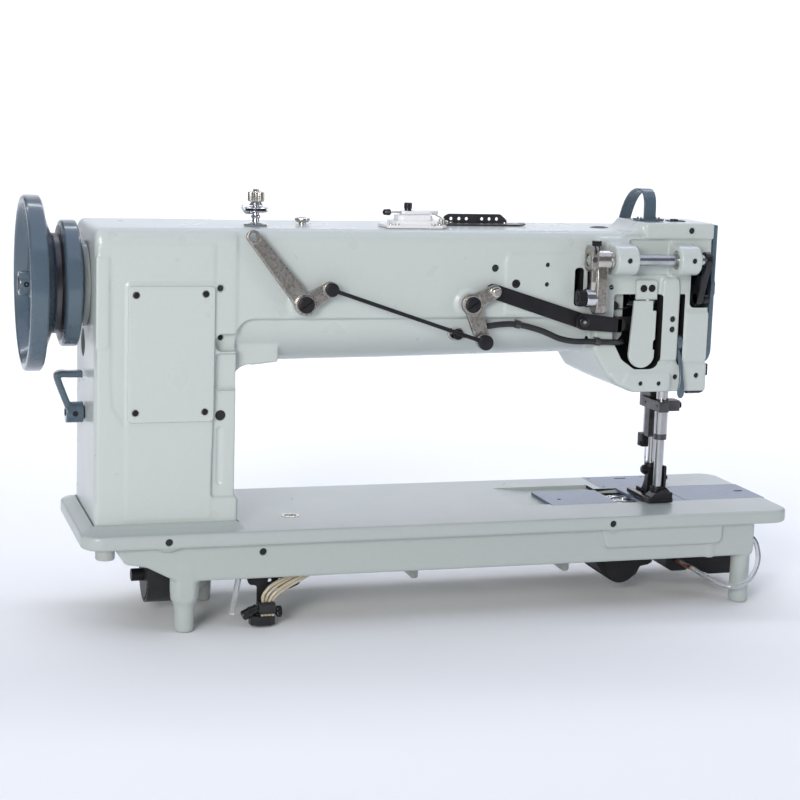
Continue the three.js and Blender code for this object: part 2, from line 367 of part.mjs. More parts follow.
// ================================================================ lifting linkage on the back of the arm
const CR = [-76, -71];
{
  let s = prismY(strap(LIFT_A, LIFT_P, 9, 6.3, 8), ...CR).add(prismY(strap(LIFT_A, LIFT_B, 9, 7, 8), ...CR)).add(turnY(rod(CR, 10.4), ...LIFT_A, 18));
  s = s.subtract(turnY(rod([-80, -60], 5.95 + GAP), ...LIFT_A, 18)).subtract(turnY(rod([-80, -60], 3.4), ...LIFT_P, 10));
  s = s.add(turnY([[-84, 0], [-84, 6.6], [-81.9, 6.6], [-81.9, 2.6], [-75, 2.6], [-75, 0]], ...LIFT_B, 12));
  add('lift_crank', s, 'nickel');
}
{
  let s = turnY(ring([-81.5, -77.2], 2.6 + GAP, 5.6), ...LIFT_B, 12).add(turnY(ring([-81.5, -77.2], 4.6, 7), ...BELL_E, 14));
  const d = new THREE.Vector2(BELL_E[0] - LIFT_B[0], BELL_E[1] - LIFT_B[1]).normalize();
  s = s.add(bar([LIFT_B[0] + d.x * 4, -79.3, LIFT_B[1] + d.y * 4], [BELL_E[0] - d.x * 5.6, -79.3, BELL_E[1] - d.y * 5.6], 1.9, 8));
  add('lift_rod', s, 'black');
}
{
  let s = prismY(strap(BELL_C, BELL_D, 8.5, 6.8, 8), ...CR).add(prismY(strap(BELL_C, BELL_E, 8.5, 7.4, 8), ...CR)).add(turnY(rod(CR, 10.2), ...BELL_C, 18));
  s = s.subtract(turnY(rod([-80, -60], 5.95 + GAP), ...BELL_C, 18));
  s = s.add(turnY([[-84, 0], [-84, 7.6], [-81.9, 7.6], [-81.9, 2.6], [-75, 2.6], [-75, 0]], ...BELL_E, 12));
  s = s.add(turnY([[-72, 0], [-72, 3], [-66.6, 3], [-66.6, 0]], ...BELL_D, 12));
  add('bell_crank', s, 'nickel');
}
{
  let s = prismY(strap(BELL_D, LINK_F, 7.2, 7.8, 8), -70.3, -67.2).subtract(turnY(rod([-75, -60], 3 + GAP), ...BELL_D, 12));
  s = s.add(turnY([[-77, 0], [-77, 5.4], [-74.8, 5.4], [-74.8, 2.6], [-69, 2.6], [-69, 0]], ...LINK_F, 12));
  add('lift_link', s, 'black');
}
{
  let s = prismY(strap(LINK_F, [520, 191.5], 8, 7.2, 8), -74, -70.9).subtract(turnY(rod([-80, -60], 4.6), ...LINK_F, 14));
  s = s.add(box(518.5, 524, -74, -56, 184.5, 198.5)).add(box(518.5, 556, -60, -56, 184.5, 198.5));
  add('lift_slide', s, 'black');
}
// ================================================================ rocking shaft on the back of the head
add('rock_shaft', turnX([[482, 0], [482, ROCK.r], [575.6, ROCK.r], [575.6, 8], [579.2, 8], [579.2, ROCK.r], [613, ROCK.r], [613, 0]], ROCK.y, ROCK.z, 18), 'steel');
{
  let s = turnX(ring([479, 506.8], ROCK.r + GAP, 10), ROCK.y, ROCK.z, 18);
  s = s.add(prismX(strap([ROCK.y, ROCK.z], [ROCK.y, 212], 10, 8.4, 6), 492, 504.5).subtract(turnX(rod([470, 520], ROCK.r + GAP), ROCK.y, ROCK.z, 18)));
  s = s.add(turnX([[471.5, 0], [471.5, 7.6], [479.5, 7.6], [479.5, 9], [493, 9], [493, 0]], ROCK.y, 220, 12));
  add('rock_crank', s, 'nickel');
}
{
  let s = prismX(strap([ROCK.y, ROCK.z], [-65, 217], 8.4, 6, 6), 606, 612.6).add(turnX(rod([606, 620], 5.4), -65, 217, 10));
  s = s.subtract(turnX(rod([600, 620], ROCK.r + GAP), ROCK.y, ROCK.z, 18));
  add('rock_output_lever', s, 'black');
}
{
  const y = -60, z = 172;
  let s = turnX(rod([588.8, 595.8], 8.2), y, z, 14);
  s = s.add(prismX([[-66, 166], [-74, 153], [-78, 142], [-79.3, 128], [-79.3, 117.5], [-75.3, 117], [-75.3, 128], [-74, 141], [-69.8, 152.5], [-59, 166]], 589.5, 594.5));
  s = s.add(prismY(roundRect(587.4, 596, 116, 133, 4, 2), -79.1, -75.5));
  add('hand_lifter', s, 'slate');
}
// ================================================================ take-up, feed, plates and controls
{
  let s = turnX(rod([603.8, 612.5], 8), 32, 226, 14).add(turnX(rod([604, 621.4], 5), 32, 226, 14));
  s = s.add(prismX(strap([32, 226], [88, 212], 5.5, 4.2, 5), 606, 609.5, [arc(88, 212, 2, 0, 315, 7)]));
  add('take_up_lever', s, 'steel');
}
{
  let s = box(584, 598.4, -16.5, 13.5, -3.4, -0.3).add(box(593.6, 598.4, -24, 22, -13, -3));
  s = s.subtract(box(590, 592.6, -20, 17, -1.8, 1)).subtract(prismZ(roundRect(588.9, 593.1, -5.6, 5.6, 2, 2), -15, 3));
  add('feed_dog', s, 'steel');
}
add('left_slide_plate', box(475, 547.6, -33.1, 29.6, -3, 0).subtract(turnZ(rod([-5, 2], 2), 492, -8, 8)), 'plate');
add('right_slide_plate', box(625.1, 716.7, -33.1, 33.1, -3, 0).subtract(box(698, 708, -2, 3, -5, 2)), 'plate');
add('stitch_dial', turnY([[50, 0], [50, 6], [66.4, 6], [66.4, 22], [68, 24], [80, 22.5], [82, 20.5], [82, 9], [90, 8.2], [91, 7], [91, 0]], 62, 150, 24), 'black');
{
  let s = turnX(rod([-18, 24], 6.2), 5, 101, 14).add(box(-18, -1.2, -5, 15, 91, 111));
  s = s.add(prismY([[-18, 104], [-29.5, 137.5], [-28.5, 141], [-26.5, 142.4], [-1.6, 142.4], [-1.6, 134.6], [-21, 134.6], [-12.5, 109.5]], -3, 12));
  add('back_tack_lever', s, 'slate');
}
add('winder_spindle', turnZ([[262, 0], [262, 3], [298, 3], [298, 4.2], [308, 3.4], [308, 0]], 311, -25, 14), 'black');
add('thread_post_nut', turnZ([[307.4, 3.35], [307.4, 6.6], [308.6, 7.6], [314, 7.6], [317, 6.4], [317, 3.35], [307.4, 3.35]], 158, -28, 16), 'nickel');
add('tension_nut', turnY([[76, 4.35], [76, 8.6], [77.5, 9.4], [86, 8.6], [86, 4.35], [76, 4.35]], 560, 206, 16), 'nickel');

// ----------------------------------------------------------------- placement
// the finished machine stands on its legs, centred over the origin
machine.updateMatrixWorld(true);
const whole = new THREE.Box3().setFromObject(machine);
machine.position.set(-(whole.min.x + whole.max.x) / 2, -(whole.min.y + whole.max.y) / 2, -whole.min.z);
const part = new THREE.Group();
part.add(machine);
export default part;
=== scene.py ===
"""Visual model of a long-arm walking-foot sewing machine head for leather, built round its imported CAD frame."""
import bpy
import bmesh
import math
import numpy as np
from mathutils import Matrix, Vector


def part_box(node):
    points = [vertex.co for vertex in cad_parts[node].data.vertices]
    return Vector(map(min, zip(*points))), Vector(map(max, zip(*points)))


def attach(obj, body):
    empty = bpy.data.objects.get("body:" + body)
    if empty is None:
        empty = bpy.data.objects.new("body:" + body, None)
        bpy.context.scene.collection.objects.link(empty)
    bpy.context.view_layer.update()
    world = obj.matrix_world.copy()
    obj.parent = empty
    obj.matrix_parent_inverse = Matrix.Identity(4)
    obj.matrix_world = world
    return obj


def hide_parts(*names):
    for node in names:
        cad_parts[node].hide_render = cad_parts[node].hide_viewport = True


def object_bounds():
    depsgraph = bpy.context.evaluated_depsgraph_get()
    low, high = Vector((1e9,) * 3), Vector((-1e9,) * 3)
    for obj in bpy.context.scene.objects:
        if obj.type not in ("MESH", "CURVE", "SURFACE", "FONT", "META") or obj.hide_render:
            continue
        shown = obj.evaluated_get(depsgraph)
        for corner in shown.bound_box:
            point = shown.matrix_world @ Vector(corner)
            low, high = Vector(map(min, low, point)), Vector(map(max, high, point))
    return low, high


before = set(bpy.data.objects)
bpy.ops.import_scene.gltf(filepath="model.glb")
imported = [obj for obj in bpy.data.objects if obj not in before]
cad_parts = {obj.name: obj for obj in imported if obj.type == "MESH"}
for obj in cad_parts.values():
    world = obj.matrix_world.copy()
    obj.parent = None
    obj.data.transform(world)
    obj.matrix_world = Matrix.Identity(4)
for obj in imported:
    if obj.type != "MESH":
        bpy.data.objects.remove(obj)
cad_lo, cad_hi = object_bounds()

# ---------------------------------------------------------------- coordinates
# Machine coordinates, millimetres: x from the column's end face along the arm,
# y from the middle of the bed (negative at the back), z up from the bed top.
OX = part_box("handwheel")[0].x * 1000 + 62.6
_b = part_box("needle_bar")
OY = (_b[0].y + _b[1].y) * 500
OZ = cad_lo.z * 1000 + 99.5


def W(x, y, z):
    return Vector(((x + OX) / 1000, (y + OY) / 1000, (z + OZ) / 1000))


TO_FRAME = Matrix.Translation(Vector((OX, OY, OZ)) / 1000) @ Matrix.Scale(0.001, 4)
SHAFT_Z, LOWER_Z = 226.3, -62.0
ROCK_Y, ROCK_Z = -80.0, 257.5
LIFT_A, LIFT_P, LIFT_B = (197.3, 213.8), (145.9, 277.7), (221.3, 228.5)
BELL_C, BELL_D, BELL_E = (363.9, 213.4), (387.1, 225.7), (377.2, 176.7)
LINK_F = (482.3, 195.4)
NX, WALK_Y, PRESS_Y, HOOK_X = 591.0, -14.0, -33.4, 567.0

# ---------------------------------------------------------------- mesh tools
work = bpy.data.collections.new("work")
bpy.context.scene.collection.children.link(work)


def mesh_of(verts, faces, fix=True):
    me = bpy.data.meshes.new("t")
    me.from_pydata([tuple(v) for v in verts], [], faces)
    if fix:
        bm = bmesh.new()
        bm.from_mesh(me)
        bmesh.ops.recalc_face_normals(bm, faces=bm.faces)
        bm.to_mesh(me)
        bm.free()
    return me


def ax(axis, a, u, v):
    return {"x": (a, u, v), "y": (u, a, v), "z": (u, v, a)}[axis]


def fillet(pts, r, n=4, closed=True):
    """Rounds the corners of an outline. r is one radius or one per corner."""
    k = len(pts)
    out = []
    for i, p in enumerate(pts):
        ri = r[i] if hasattr(r, "__len__") else r
        if (not closed and i in (0, k - 1)) or ri <= 0:
            out.append(tuple(p))
            continue
        a, b = np.array(pts[i - 1], float), np.array(pts[(i + 1) % k], float)
        c = np.array(p, float)
        da, db = a - c, b - c
        la, lb = np.linalg.norm(da), np.linalg.norm(db)
        if la < 1e-6 or lb < 1e-6:
            out.append(tuple(p))
            continue
        da, db = da / la, db / lb
        cosang = float(np.clip(da @ db, -1, 1))
        ang = math.acos(cosang)
        if ang > math.pi - 0.05:
            out.append(tuple(p))
            continue
        t = min(ri / math.tan(ang / 2), 0.48 * la, 0.48 * lb)
        rr = t * math.tan(ang / 2)
        bis = da + db
        bis = bis / np.linalg.norm(bis)
        ctr = c + bis * (rr / math.sin(ang / 2))
        s, e = c + da * t, c + db * t
        a0 = math.atan2(*(s - ctr)[::-1])
        a1 = math.atan2(*(e - ctr)[::-1])
        d = (a1 - a0 + math.pi) % (2 * math.pi) - math.pi
        for j in range(n + 1):
            t_ = a0 + d * j / n
            out.append((ctr[0] + rr * math.cos(t_), ctr[1] + rr * math.sin(t_)))
    return out


def arc(cx, cy, r, a0, a1, n):
    return [(cx + r * math.cos(math.radians(a0 + (a1 - a0) * i / n)),
             cy + r * math.sin(math.radians(a0 + (a1 - a0) * i / n))) for i in range(n + 1)]


def rrect(u0, u1, v0, v1, r, n=6):
    return fillet([(u0, v0), (u1, v0), (u1, v1), (u0, v1)], r, n)


def strap(p, q, r0, r1, n=14):
    a = math.degrees(math.atan2(q[1] - p[1], q[0] - p[0]))
    return arc(p[0], p[1], r0, a + 90, a + 270, n) + arc(q[0], q[1], r1, a - 90, a + 90, n)


def _area(pts):
    return 0.5 * sum(pts[i - 1][0] * p[1] - p[0] * pts[i - 1][1] for i, p in enumerate(pts))


def inset(pts, d):
    """Moves an anticlockwise outline inwards by d."""
    k = len(pts)
    out = []
    for i in range(k):
        p = np.array(pts[i], float)
        e0 = p - np.array(pts[i - 1], float)
        e1 = np.array(pts[(i + 1) % k], float) - p
        l0, l1 = np.linalg.norm(e0), np.linalg.norm(e1)
        n0 = np.array([-e0[1], e0[0]]) / max(l0, 1e-9)
        n1 = np.array([-e1[1], e1[0]]) / max(l1, 1e-9)
        m = n0 + n1
        l = np.linalg.norm(m)
        m = n0 if l < 1e-6 else m / l
        out.append(tuple(p + m * d / max(0.5, float(m @ n0))))
    return out


def prism(axis, pts, a0, a1, bevel=0.0, segs=2, b0=None, b1=None):
    """Extruded outline with rounded rims. Outline coordinates: (y,z) for x, (x,z) for y, (x,y) for z."""
    clean = []
    for p in pts:
        if not clean or math.dist(p, clean[-1]) > 1e-4:
            clean.append(p)
    if math.dist(clean[0], clean[-1]) < 1e-4:
        clean.pop()
    if _area(clean) < 0:
        clean.reverse()
    b0 = bevel if b0 is None else b0
    b1 = bevel if b1 is None else b1
    rings = []
    if b0 > 0:
        for j in range(segs, 0, -1):
            t = j / segs * math.pi / 2
            rings.append((b0 * (1 - math.cos(t)), a0 + b0 * (1 - math.sin(t))))
    rings.append((0, a0 + (b0 if b0 > 0 else 0)))
    rings.append((0, a1 - (b1 if b1 > 0 else 0)))
    if b1 > 0:
        for j in range(1, segs + 1):
            t = j / segs * math.pi / 2
            rings.append((b1 * (1 - math.cos(t)), a1 - b1 * (1 - math.sin(t))))
    k = len(clean)
    verts = []
    for d, a in rings:
        loop = inset(clean, d) if d > 0 else clean
        verts += [ax(axis, a, u, v) for u, v in loop]
    faces = []
    for r in range(len(rings) - 1):
        for i in range(k):
            j = (i + 1) % k
            faces.append((r * k + i, r * k + j, (r + 1) * k + j, (r + 1) * k + i))
    faces.append(tuple(range(k)))
    faces.append(tuple(range((len(rings) - 1) * k, len(rings) * k)))
    return mesh_of(verts, faces)


def framed(outer, hole, z0, z1, bevel=0.3):
    """A flat plate with one opening, all in four-sided faces. Both outlines have the same number of points."""
    k = len(outer)
    rings = [(outer, z0), (outer, z1 - bevel), (inset(outer, bevel), z1), (hole, z1), (hole, z0)]
    v = [Vector((q[0], q[1], z)) for pts, z in rings for q in pts]
    f = [(r * k + i, r * k + (i + 1) % k, (r + 1) % 5 * k + (i + 1) % k, (r + 1) % 5 * k + i) for r in range(5) for i in range(k)]
    return mesh_of(v, f)


def box(x0, x1, y0, y1, z0, z1, bevel=0.0, segs=2):
    return prism("z", [(x0, y0), (x1, y0), (x1, y1), (x0, y1)], z0, z1, bevel, segs) if bevel <= 0 else prism(
        "z", rrect(x0, x1, y0, y1, bevel, 3), z0, z1, bevel, segs)


def lathe(axis, profile, c=(0, 0), n=64, flute=None):
    """Turned solid. profile is [(along, radius)]; flute(angle, along) scales the radius."""
    pts = list(profile)
    closed = pts[0][1] > 0 and math.dist(pts[0], pts[-1]) < 1e-6
    if closed:
        pts = pts[:-1]
    elif pts[0][1] > 0:
        pts = [(pts[0][0], 0)] + pts
    if not closed and pts[-1][1] > 0:
        pts = pts + [(pts[-1][0], 0)]
    verts, rings = [], []
    for a, r in pts:
        if r <= 1e-9:
            rings.append([len(verts)])
            verts.append(ax(axis, a, c[0], c[1]))
        else:
            ring = []
            for i in range(n):
                t = 2 * math.pi * i / n
                rr = r * (flute(t, a, r) if flute else 1)
                ring.append(len(verts))
                verts.append(ax(axis, a, c[0] + rr * math.cos(t), c[1] + rr * math.sin(t)))
            rings.append(ring)
    faces = []
    m = len(rings)
    for i in range(m if closed else m - 1):
        p, q = rings[i], rings[(i + 1) % m]
        if len(p) == 1 and len(q) == 1:
            continue
        for j in range(n):
            k = (j + 1) % n
            if len(p) == 1:
                faces.append((p[0], q[k], q[j]))
            elif len(q) == 1:
                faces.append((p[j], p[k], q[0]))
            else:
                faces.append((p[j], p[k], q[k], q[j]))
    return mesh_of(verts, faces)


def rod(a0, a1, r, ch=0.5):
    ch = min(ch, r * 0.4, (a1 - a0) * 0.3)
    return [(a0, 0), (a0, r - ch), (a0 + ch * 0.3, r - ch * 0.3), (a0 + ch, r), (a1 - ch, r), (a1 - ch * 0.3, r - ch * 0.3), (a1, r - ch), (a1, 0)]


def ring(a0, a1, ri, ro, ch=0.4):
    ch = min(ch, (ro - ri) * 0.4, (a1 - a0) * 0.3)
    return [(a0, ri + ch), (a0, ro - ch), (a0 + ch, ro), (a1 - ch, ro), (a1, ro - ch), (a1, ri + ch), (a1 - ch, ri), (a0 + ch, ri), (a0, ri + ch)]


def smooth_path(points, per=8):
    """Centripetal Catmull-Rom through the points."""
    P = [np.array(p, float) for p in points]
    P = [2 * P[0] - P[1]] + P + [2 * P[-1] - P[-2]]
    out = []
    for i in range(1, len(P) - 2):
        p0, p1, p2, p3 = P[i - 1:i + 3]
        t0 = 0.0
        t1 = t0 + max(np.linalg.norm(p1 - p0), 1e-6) ** 0.5
        t2 = t1 + max(np.linalg.norm(p2 - p1), 1e-6) ** 0.5
        t3 = t2 + max(np.linalg.norm(p3 - p2), 1e-6) ** 0.5
        for j in range(per):
            t = t1 + (t2 - t1) * j / per
            a1 = (t1 - t) / (t1 - t0) * p0 + (t - t0) / (t1 - t0) * p1
            a2 = (t2 - t) / (t2 - t1) * p1 + (t - t1) / (t2 - t1) * p2
            a3 = (t3 - t) / (t3 - t2) * p2 + (t - t2) / (t3 - t2) * p3
            b1 = (t2 - t) / (t2 - t0) * a1 + (t - t0) / (t2 - t0) * a2
            b2 = (t3 - t) / (t3 - t1) * a2 + (t - t1) / (t3 - t1) * a3
            out.append((t2 - t) / (t2 - t1) * b1 + (t - t1) / (t2 - t1) * b2)
    out.append(P[-2])
    return out


def sweep(path, section, up=(0, 0, 1), scale=None):
    """Sweeps a closed section (u, v) along a path. v follows up as closely as the path allows."""
    path = [np.array(p, float) for p in path]
    k = len(section)
    verts = []
    side = None
    up = np.array(up, float)
    for i, p in enumerate(path):
        d = path[min(i + 1, len(path) - 1)] - path[max(i - 1, 0)]
        d /= np.linalg.norm(d)
        if side is None:
            s = np.cross(d, up)
            if np.linalg.norm(s) < 1e-3:
                s = np.cross(d, np.array([1.0, 0, 0]))
        else:
            s = side - d * (side @ d)
        s /= np.linalg.norm(s)
        side = s
        v = np.cross(s, d)
        f = scale(i / (len(path) - 1)) if scale else 1.0
        f = f if hasattr(f, "__len__") else (f, f)
        verts += [p + s * q[0] * f[0] + v * q[1] * f[1] for q in section]
    faces = []
    for r in range(len(path) - 1):
        for i in range(k):
            j = (i + 1) % k
            faces.append((r * k + i, r * k + j, (r + 1) * k + j, (r + 1) * k + i))
    faces.append(tuple(range(k)))
    faces.append(tuple(range((len(path) - 1) * k, len(path) * k)))
    return mesh_of(verts, faces)


def circle(r, n=16):
    return [(r * math.cos(2 * math.pi * i / n), r * math.sin(2 * math.pi * i / n)) for i in range(n)]


def tube(points, r, per=8, n=16):
    return sweep(smooth_path(points, per), circle(r, n))


def moved(me, m):
    me.transform(m)
    if m.determinant() < 0:
        me.flip_normals()
    return me


def join(*parts):
    bm = bmesh.new()
    for me in parts:
        bm.from_mesh(me)
    out = bpy.data.meshes.new("t")
    bm.to_mesh(out)
    bm.free()
    for me in parts:
        bpy.data.meshes.remove(me)
    return out


def _eval(o):
    dg = bpy.context.evaluated_depsgraph_get()
    return bpy.data.meshes.new_from_object(o.evaluated_get(dg))


def _link(me):
    o = bpy.data.objects.new("t", me)
    work.objects.link(o)
    return o


def boolean(a, b, op="DIFFERENCE", solver="MANIFOLD"):
    oa, ob = _link(a), _link(b)
    m = oa.modifiers.new("b", "BOOLEAN")
    m.operation, m.solver, m.object = op, solver, ob
    out = _eval(oa)
    if len(out.polygons) == 0:  # not a closed mesh: the exact solver copes
        bpy.data.meshes.remove(out)
        m.solver = "EXACT"
        out = _eval(oa)
    bpy.data.objects.remove(oa), bpy.data.objects.remove(ob)
    bpy.data.meshes.remove(a), bpy.data.meshes.remove(b)
    out.materials.clear()
    return out


def cut(a, *tools, exact=False):
    for t in tools:
        a = boolean(a, t, solver="EXACT" if exact else "MANIFOLD")
    return a


def add(a, *parts):
    for p in parts:
        a = boolean(a, p, "UNION")
    return a


def soften(me, voxel, times=8, factor=0.5, faces=None):
    """Fuses overlapping solids into one skin with cast, rounded edges."""
    o = _link(me)
    m = o.modifiers.new("r", "REMESH")
    m.mode, m.voxel_size, m.adaptivity = "VOXEL", voxel, 0.0
    if times:
        s = o.modifiers.new("s", "SMOOTH")
        s.factor, s.iterations = factor, times
    out = _eval(o)
    n = len(out.polygons)
    if faces and n > faces / 2:
        o.modifiers.clear()
        old = o.data
        o.data = out
        bpy.data.meshes.remove(old)
        d = o.modifiers.new("d", "DECIMATE")
        d.ratio = min(1.0, faces / (2.0 * n))
        new = _eval(o)
        bpy.data.objects.remove(o)
        bpy.data.meshes.remove(out)
        out = new
    else:
        bpy.data.objects.remove(o)
        bpy.data.meshes.remove(me)
    out.materials.clear()
    return out


def hexagon(r, a=0.0):
    return [(r * math.cos(math.radians(a + 60 * i)), r * math.sin(math.radians(a + 60 * i))) for i in range(6)]


def shifted(pts, c):
    return [(p[0] + c[0], p[1] + c[1]) for p in pts]


def piece(name, me, body, material, replaces=(), sharp=32, inside=None):
    """inside = (material, boxes): faces whose middle lies in one of the boxes take the other material."""
    bm = bmesh.new()
    bm.from_mesh(me)
    bmesh.ops.triangulate(bm, faces=[f for f in bm.faces if len(f.verts) > 4], ngon_method="BEAUTY")
    bm.to_mesh(me)
    bm.free()
    me.materials.clear()
    me.materials.append(material)
    if inside:
        me.materials.append(inside[0])
        c = np.empty(len(me.polygons) * 3)
        me.polygons.foreach_get("center", c)
        c = c.reshape(-1, 3)
        hit = np.zeros(len(c), bool)
        for lo_x, hi_x, lo_y, hi_y, lo_z, hi_z in inside[1]:
            hit |= (c[:, 0] > lo_x) & (c[:, 0] < hi_x) & (c[:, 1] > lo_y) & (c[:, 1] < hi_y) & (c[:, 2] > lo_z) & (c[:, 2] < hi_z)
        me.polygons.foreach_set("material_index", hit.astype(int))
    me.transform(TO_FRAME)
    me.polygons.foreach_set("use_smooth", [True] * len(me.polygons))
    me.set_sharp_from_angle(angle=math.radians(sharp))
    me.name = name
    o = bpy.data.objects.new(name, me)
    bpy.context.scene.collection.objects.link(o)
    if len(me.polygons) < 30000:
        w = o.modifiers.new("w", "WEIGHTED_NORMAL")
        w.keep_sharp, w.weight = True, 60
    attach(o, body)
    if replaces:
        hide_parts(*([replaces] if isinstance(replaces, str) else replaces))
    return o


# ---------------------------------------------------------------- materials
def new_mat(name):
    m = bpy.data.materials.new(name)
    m.use_nodes = True
    nt = m.node_tree
    b = nt.nodes["Principled BSDF"]
    tc = nt.nodes.new("ShaderNodeTexCoord")
    return m, nt, b, tc.outputs["Object"]


def noise(nt, vec, scale, detail=2.0, rough=0.5, stretch=None):
    if stretch:
        mp = nt.nodes.new("ShaderNodeMapping")
        mp.inputs["Scale"].default_value = stretch
        nt.links.new(vec, mp.inputs["Vector"])
        vec = mp.outputs["Vector"]
    n = nt.nodes.new("ShaderNodeTexNoise")
    n.inputs["Scale"].default_value = scale
    n.inputs["Detail"].default_value = detail
    n.inputs["Roughness"].default_value = rough
    nt.links.new(vec, n.inputs["Vector"])
    return n.outputs["Fac"]


def ramp(nt, fac, stops):
    r = nt.nodes.new("ShaderNodeValToRGB")
    e = r.color_ramp.elements
    e[0].position, e[0].color = stops[0][0], (*stops[0][1], 1)
    e[1].position, e[1].color = stops[-1][0], (*stops[-1][1], 1)
    for p, c in stops[1:-1]:
        x = e.new(p)
        x.color = (*c, 1)
    nt.links.new(fac, r.inputs["Fac"])
    return r.outputs["Color"]


def span(nt, fac, lo, hi, a=0.3, b=0.7):
    r = nt.nodes.new("ShaderNodeMapRange")
    r.inputs["From Min"].default_value, r.inputs["From Max"].default_value = a, b
    r.inputs["To Min"].default_value, r.inputs["To Max"].default_value = lo, hi
    nt.links.new(fac, r.inputs["Value"])
    return r.outputs["Result"]


def mix(nt, fac, a, b, kind="MIX"):
    m = nt.nodes.new("ShaderNodeMix")
    m.data_type, m.blend_type = "RGBA", kind
    if hasattr(fac, "is_linked"):
        nt.links.new(fac, m.inputs["Factor"])
    else:
        m.inputs["Factor"].default_value = fac
    for v, s in ((a, m.inputs[6]), (b, m.inputs[7])):
        if hasattr(v, "is_linked"):
            nt.links.new(v, s)
        else:
            s.default_value = (*v, 1)
    return m.outputs[2]


def bump(nt, bsdf, parts):
    """parts: [(height socket, strength, distance in metres)]"""
    last = None
    for h, s, d in parts:
        b = nt.nodes.new("ShaderNodeBump")
        b.inputs["Strength"].default_value = s
        b.inputs["Distance"].default_value = d
        nt.links.new(h, b.inputs["Height"])
        if last:
            nt.links.new(last, b.inputs["Normal"])
        last = b.outputs["Normal"]
    nt.links.new(last, bsdf.inputs["Normal"])


def enamel(name, base, dark, peel=0.32, chips=0.0, lo=0.2, hi=0.34, coat=0.25):
    m, nt, b, v = new_mat(name)
    wide = noise(nt, v, 7.0, 3.0)
    col = mix(nt, span(nt, wide, 0.0, 1.0), dark, base)
    fine = noise(nt, v, 260.0, 2.0)
    col = mix(nt, 0.015, col, ramp(nt, fine, [(0.35, (0.0, 0.0, 0.0)), (0.65, (1.0, 1.0, 1.0))]), "SOFT_LIGHT")
    if chips:
        spots = noise(nt, v, 190.0, 4.0, 0.55)
        patch = noise(nt, v, 22.0, 2.0)
        a = ramp(nt, spots, [(0.735, (0, 0, 0)), (0.755, (1, 1, 1))])
        c = ramp(nt, patch, [(0.5, (0, 0, 0)), (0.62, (1, 1, 1))])
        both = mix(nt, 1.0, a, c, "MULTIPLY")
        col = mix(nt, both, col, (0.09, 0.09, 0.085))
    nt.links.new(col, b.inputs["Base Color"])
    nt.links.new(span(nt, noise(nt, v, 30.0, 2.0), lo, hi), b.inputs["Roughness"])
    b.inputs["Coat Weight"].default_value = coat
    b.inputs["Coat Roughness"].default_value = 0.12
    b.inputs["IOR"].default_value = 1.5
    bump(nt, b, [(noise(nt, v, 700.0, 1.0), peel, 0.00008)])
    return m


def metal(name, base, alt, rough=(0.2, 0.32), grain=None, peel=0.0, metallic=1.0, scale=900.0, stretch=None, spots=None, coat=0.0, spec=0.5):
    m, nt, b, v = new_mat(name)
    b.inputs["Specular IOR Level"].default_value = spec
    f = noise(nt, v, 60.0, 4.0, stretch=stretch)
    col = mix(nt, span(nt, f, 0.0, 1.0), base, alt)
    if spots:
        s = noise(nt, v, 420.0, 5.0, 0.65)
        col = mix(nt, span(nt, s, 0.0, 0.85, 0.46, 0.68), col, spots)
    nt.links.new(col, b.inputs["Base Color"])
    b.inputs["Metallic"].default_value = metallic
    g = noise(nt, v, scale, 3.0, 0.6, stretch=grain)
    nt.links.new(span(nt, g, rough[0], rough[1]), b.inputs["Roughness"])
    if coat:
        b.inputs["Coat Weight"].default_value = coat
    if peel:
        bump(nt, b, [(g, peel, 0.00012)])
    return m


def plastic(name, base, alt, rough=(0.35, 0.5), peel=0.08, scale=500.0, transmission=0.0, subsurface=0.0, coat=0.0):
    m, nt, b, v = new_mat(name)
    f = noise(nt, v, 45.0, 3.0)
    nt.links.new(mix(nt, span(nt, f, 0.0, 1.0), base, alt), b.inputs["Base Color"])
    nt.links.new(span(nt, noise(nt, v, 120.0, 3.0), rough[0], rough[1]), b.inputs["Roughness"])
    b.inputs["Transmission Weight"].default_value = transmission
    if subsurface:
        b.inputs["Subsurface Weight"].default_value = subsurface
        b.inputs["Subsurface Radius"].default_value = (0.002, 0.0015, 0.001)
    b.inputs["Coat Weight"].default_value = coat
    bump(nt, b, [(noise(nt, v, scale, 2.0), peel, 0.0001)])
    return m


ENAMEL = enamel("enamel_light", (0.512, 0.553, 0.532), (0.508, 0.549, 0.528), 0.08, chips=0.0, lo=0.27, hi=0.31, coat=0.18)
# The bed's enamel is a darker copy of the arm's enamel, which is painted shade on the bed; its dark chips are real
# wear.
ENAMEL_BED_SHADED = enamel("enamel_bed_shaded", (0.420, 0.456, 0.442), (0.415, 0.451, 0.437), 0.07, chips=1.0, lo=0.3, hi=0.34, coat=0.08)
SLATE = enamel("enamel_slate", (0.076, 0.112, 0.146), (0.070, 0.104, 0.137), 0.10, lo=0.20, hi=0.32, coat=0.45)
NICKEL = metal("nickel_cast", (0.50, 0.47, 0.43), (0.34, 0.32, 0.29), (0.22, 0.42), peel=0.6, scale=1300.0, spots=(0.17, 0.155, 0.14))
NICKEL_FINE = metal("nickel_smooth", (0.68, 0.65, 0.60), (0.52, 0.50, 0.46), (0.16, 0.3), peel=0.12, scale=1800.0)
BLACK = metal("black_oxide", (0.009, 0.009, 0.011), (0.018, 0.017, 0.020), (0.34, 0.5), peel=0.12, metallic=0.1, scale=1600.0, spec=0.3)
BLACK_GLOSS = metal("black_gloss", (0.008, 0.008, 0.010), (0.014, 0.014, 0.017), (0.16, 0.3), peel=0.08, metallic=0.0, scale=1200.0, coat=0.15, spec=0.4)
STEEL = metal("steel_ground", (0.50, 0.50, 0.50), (0.40, 0.40, 0.41), (0.10, 0.20), grain=(1.0, 1.0, 0.06), peel=0.05, scale=1500.0)
STEEL_X = metal("steel_turned", (0.60, 0.61, 0.62), (0.42, 0.43, 0.45), (0.12, 0.28), grain=(8.0, 0.5, 0.5), peel=0.06, scale=900.0)
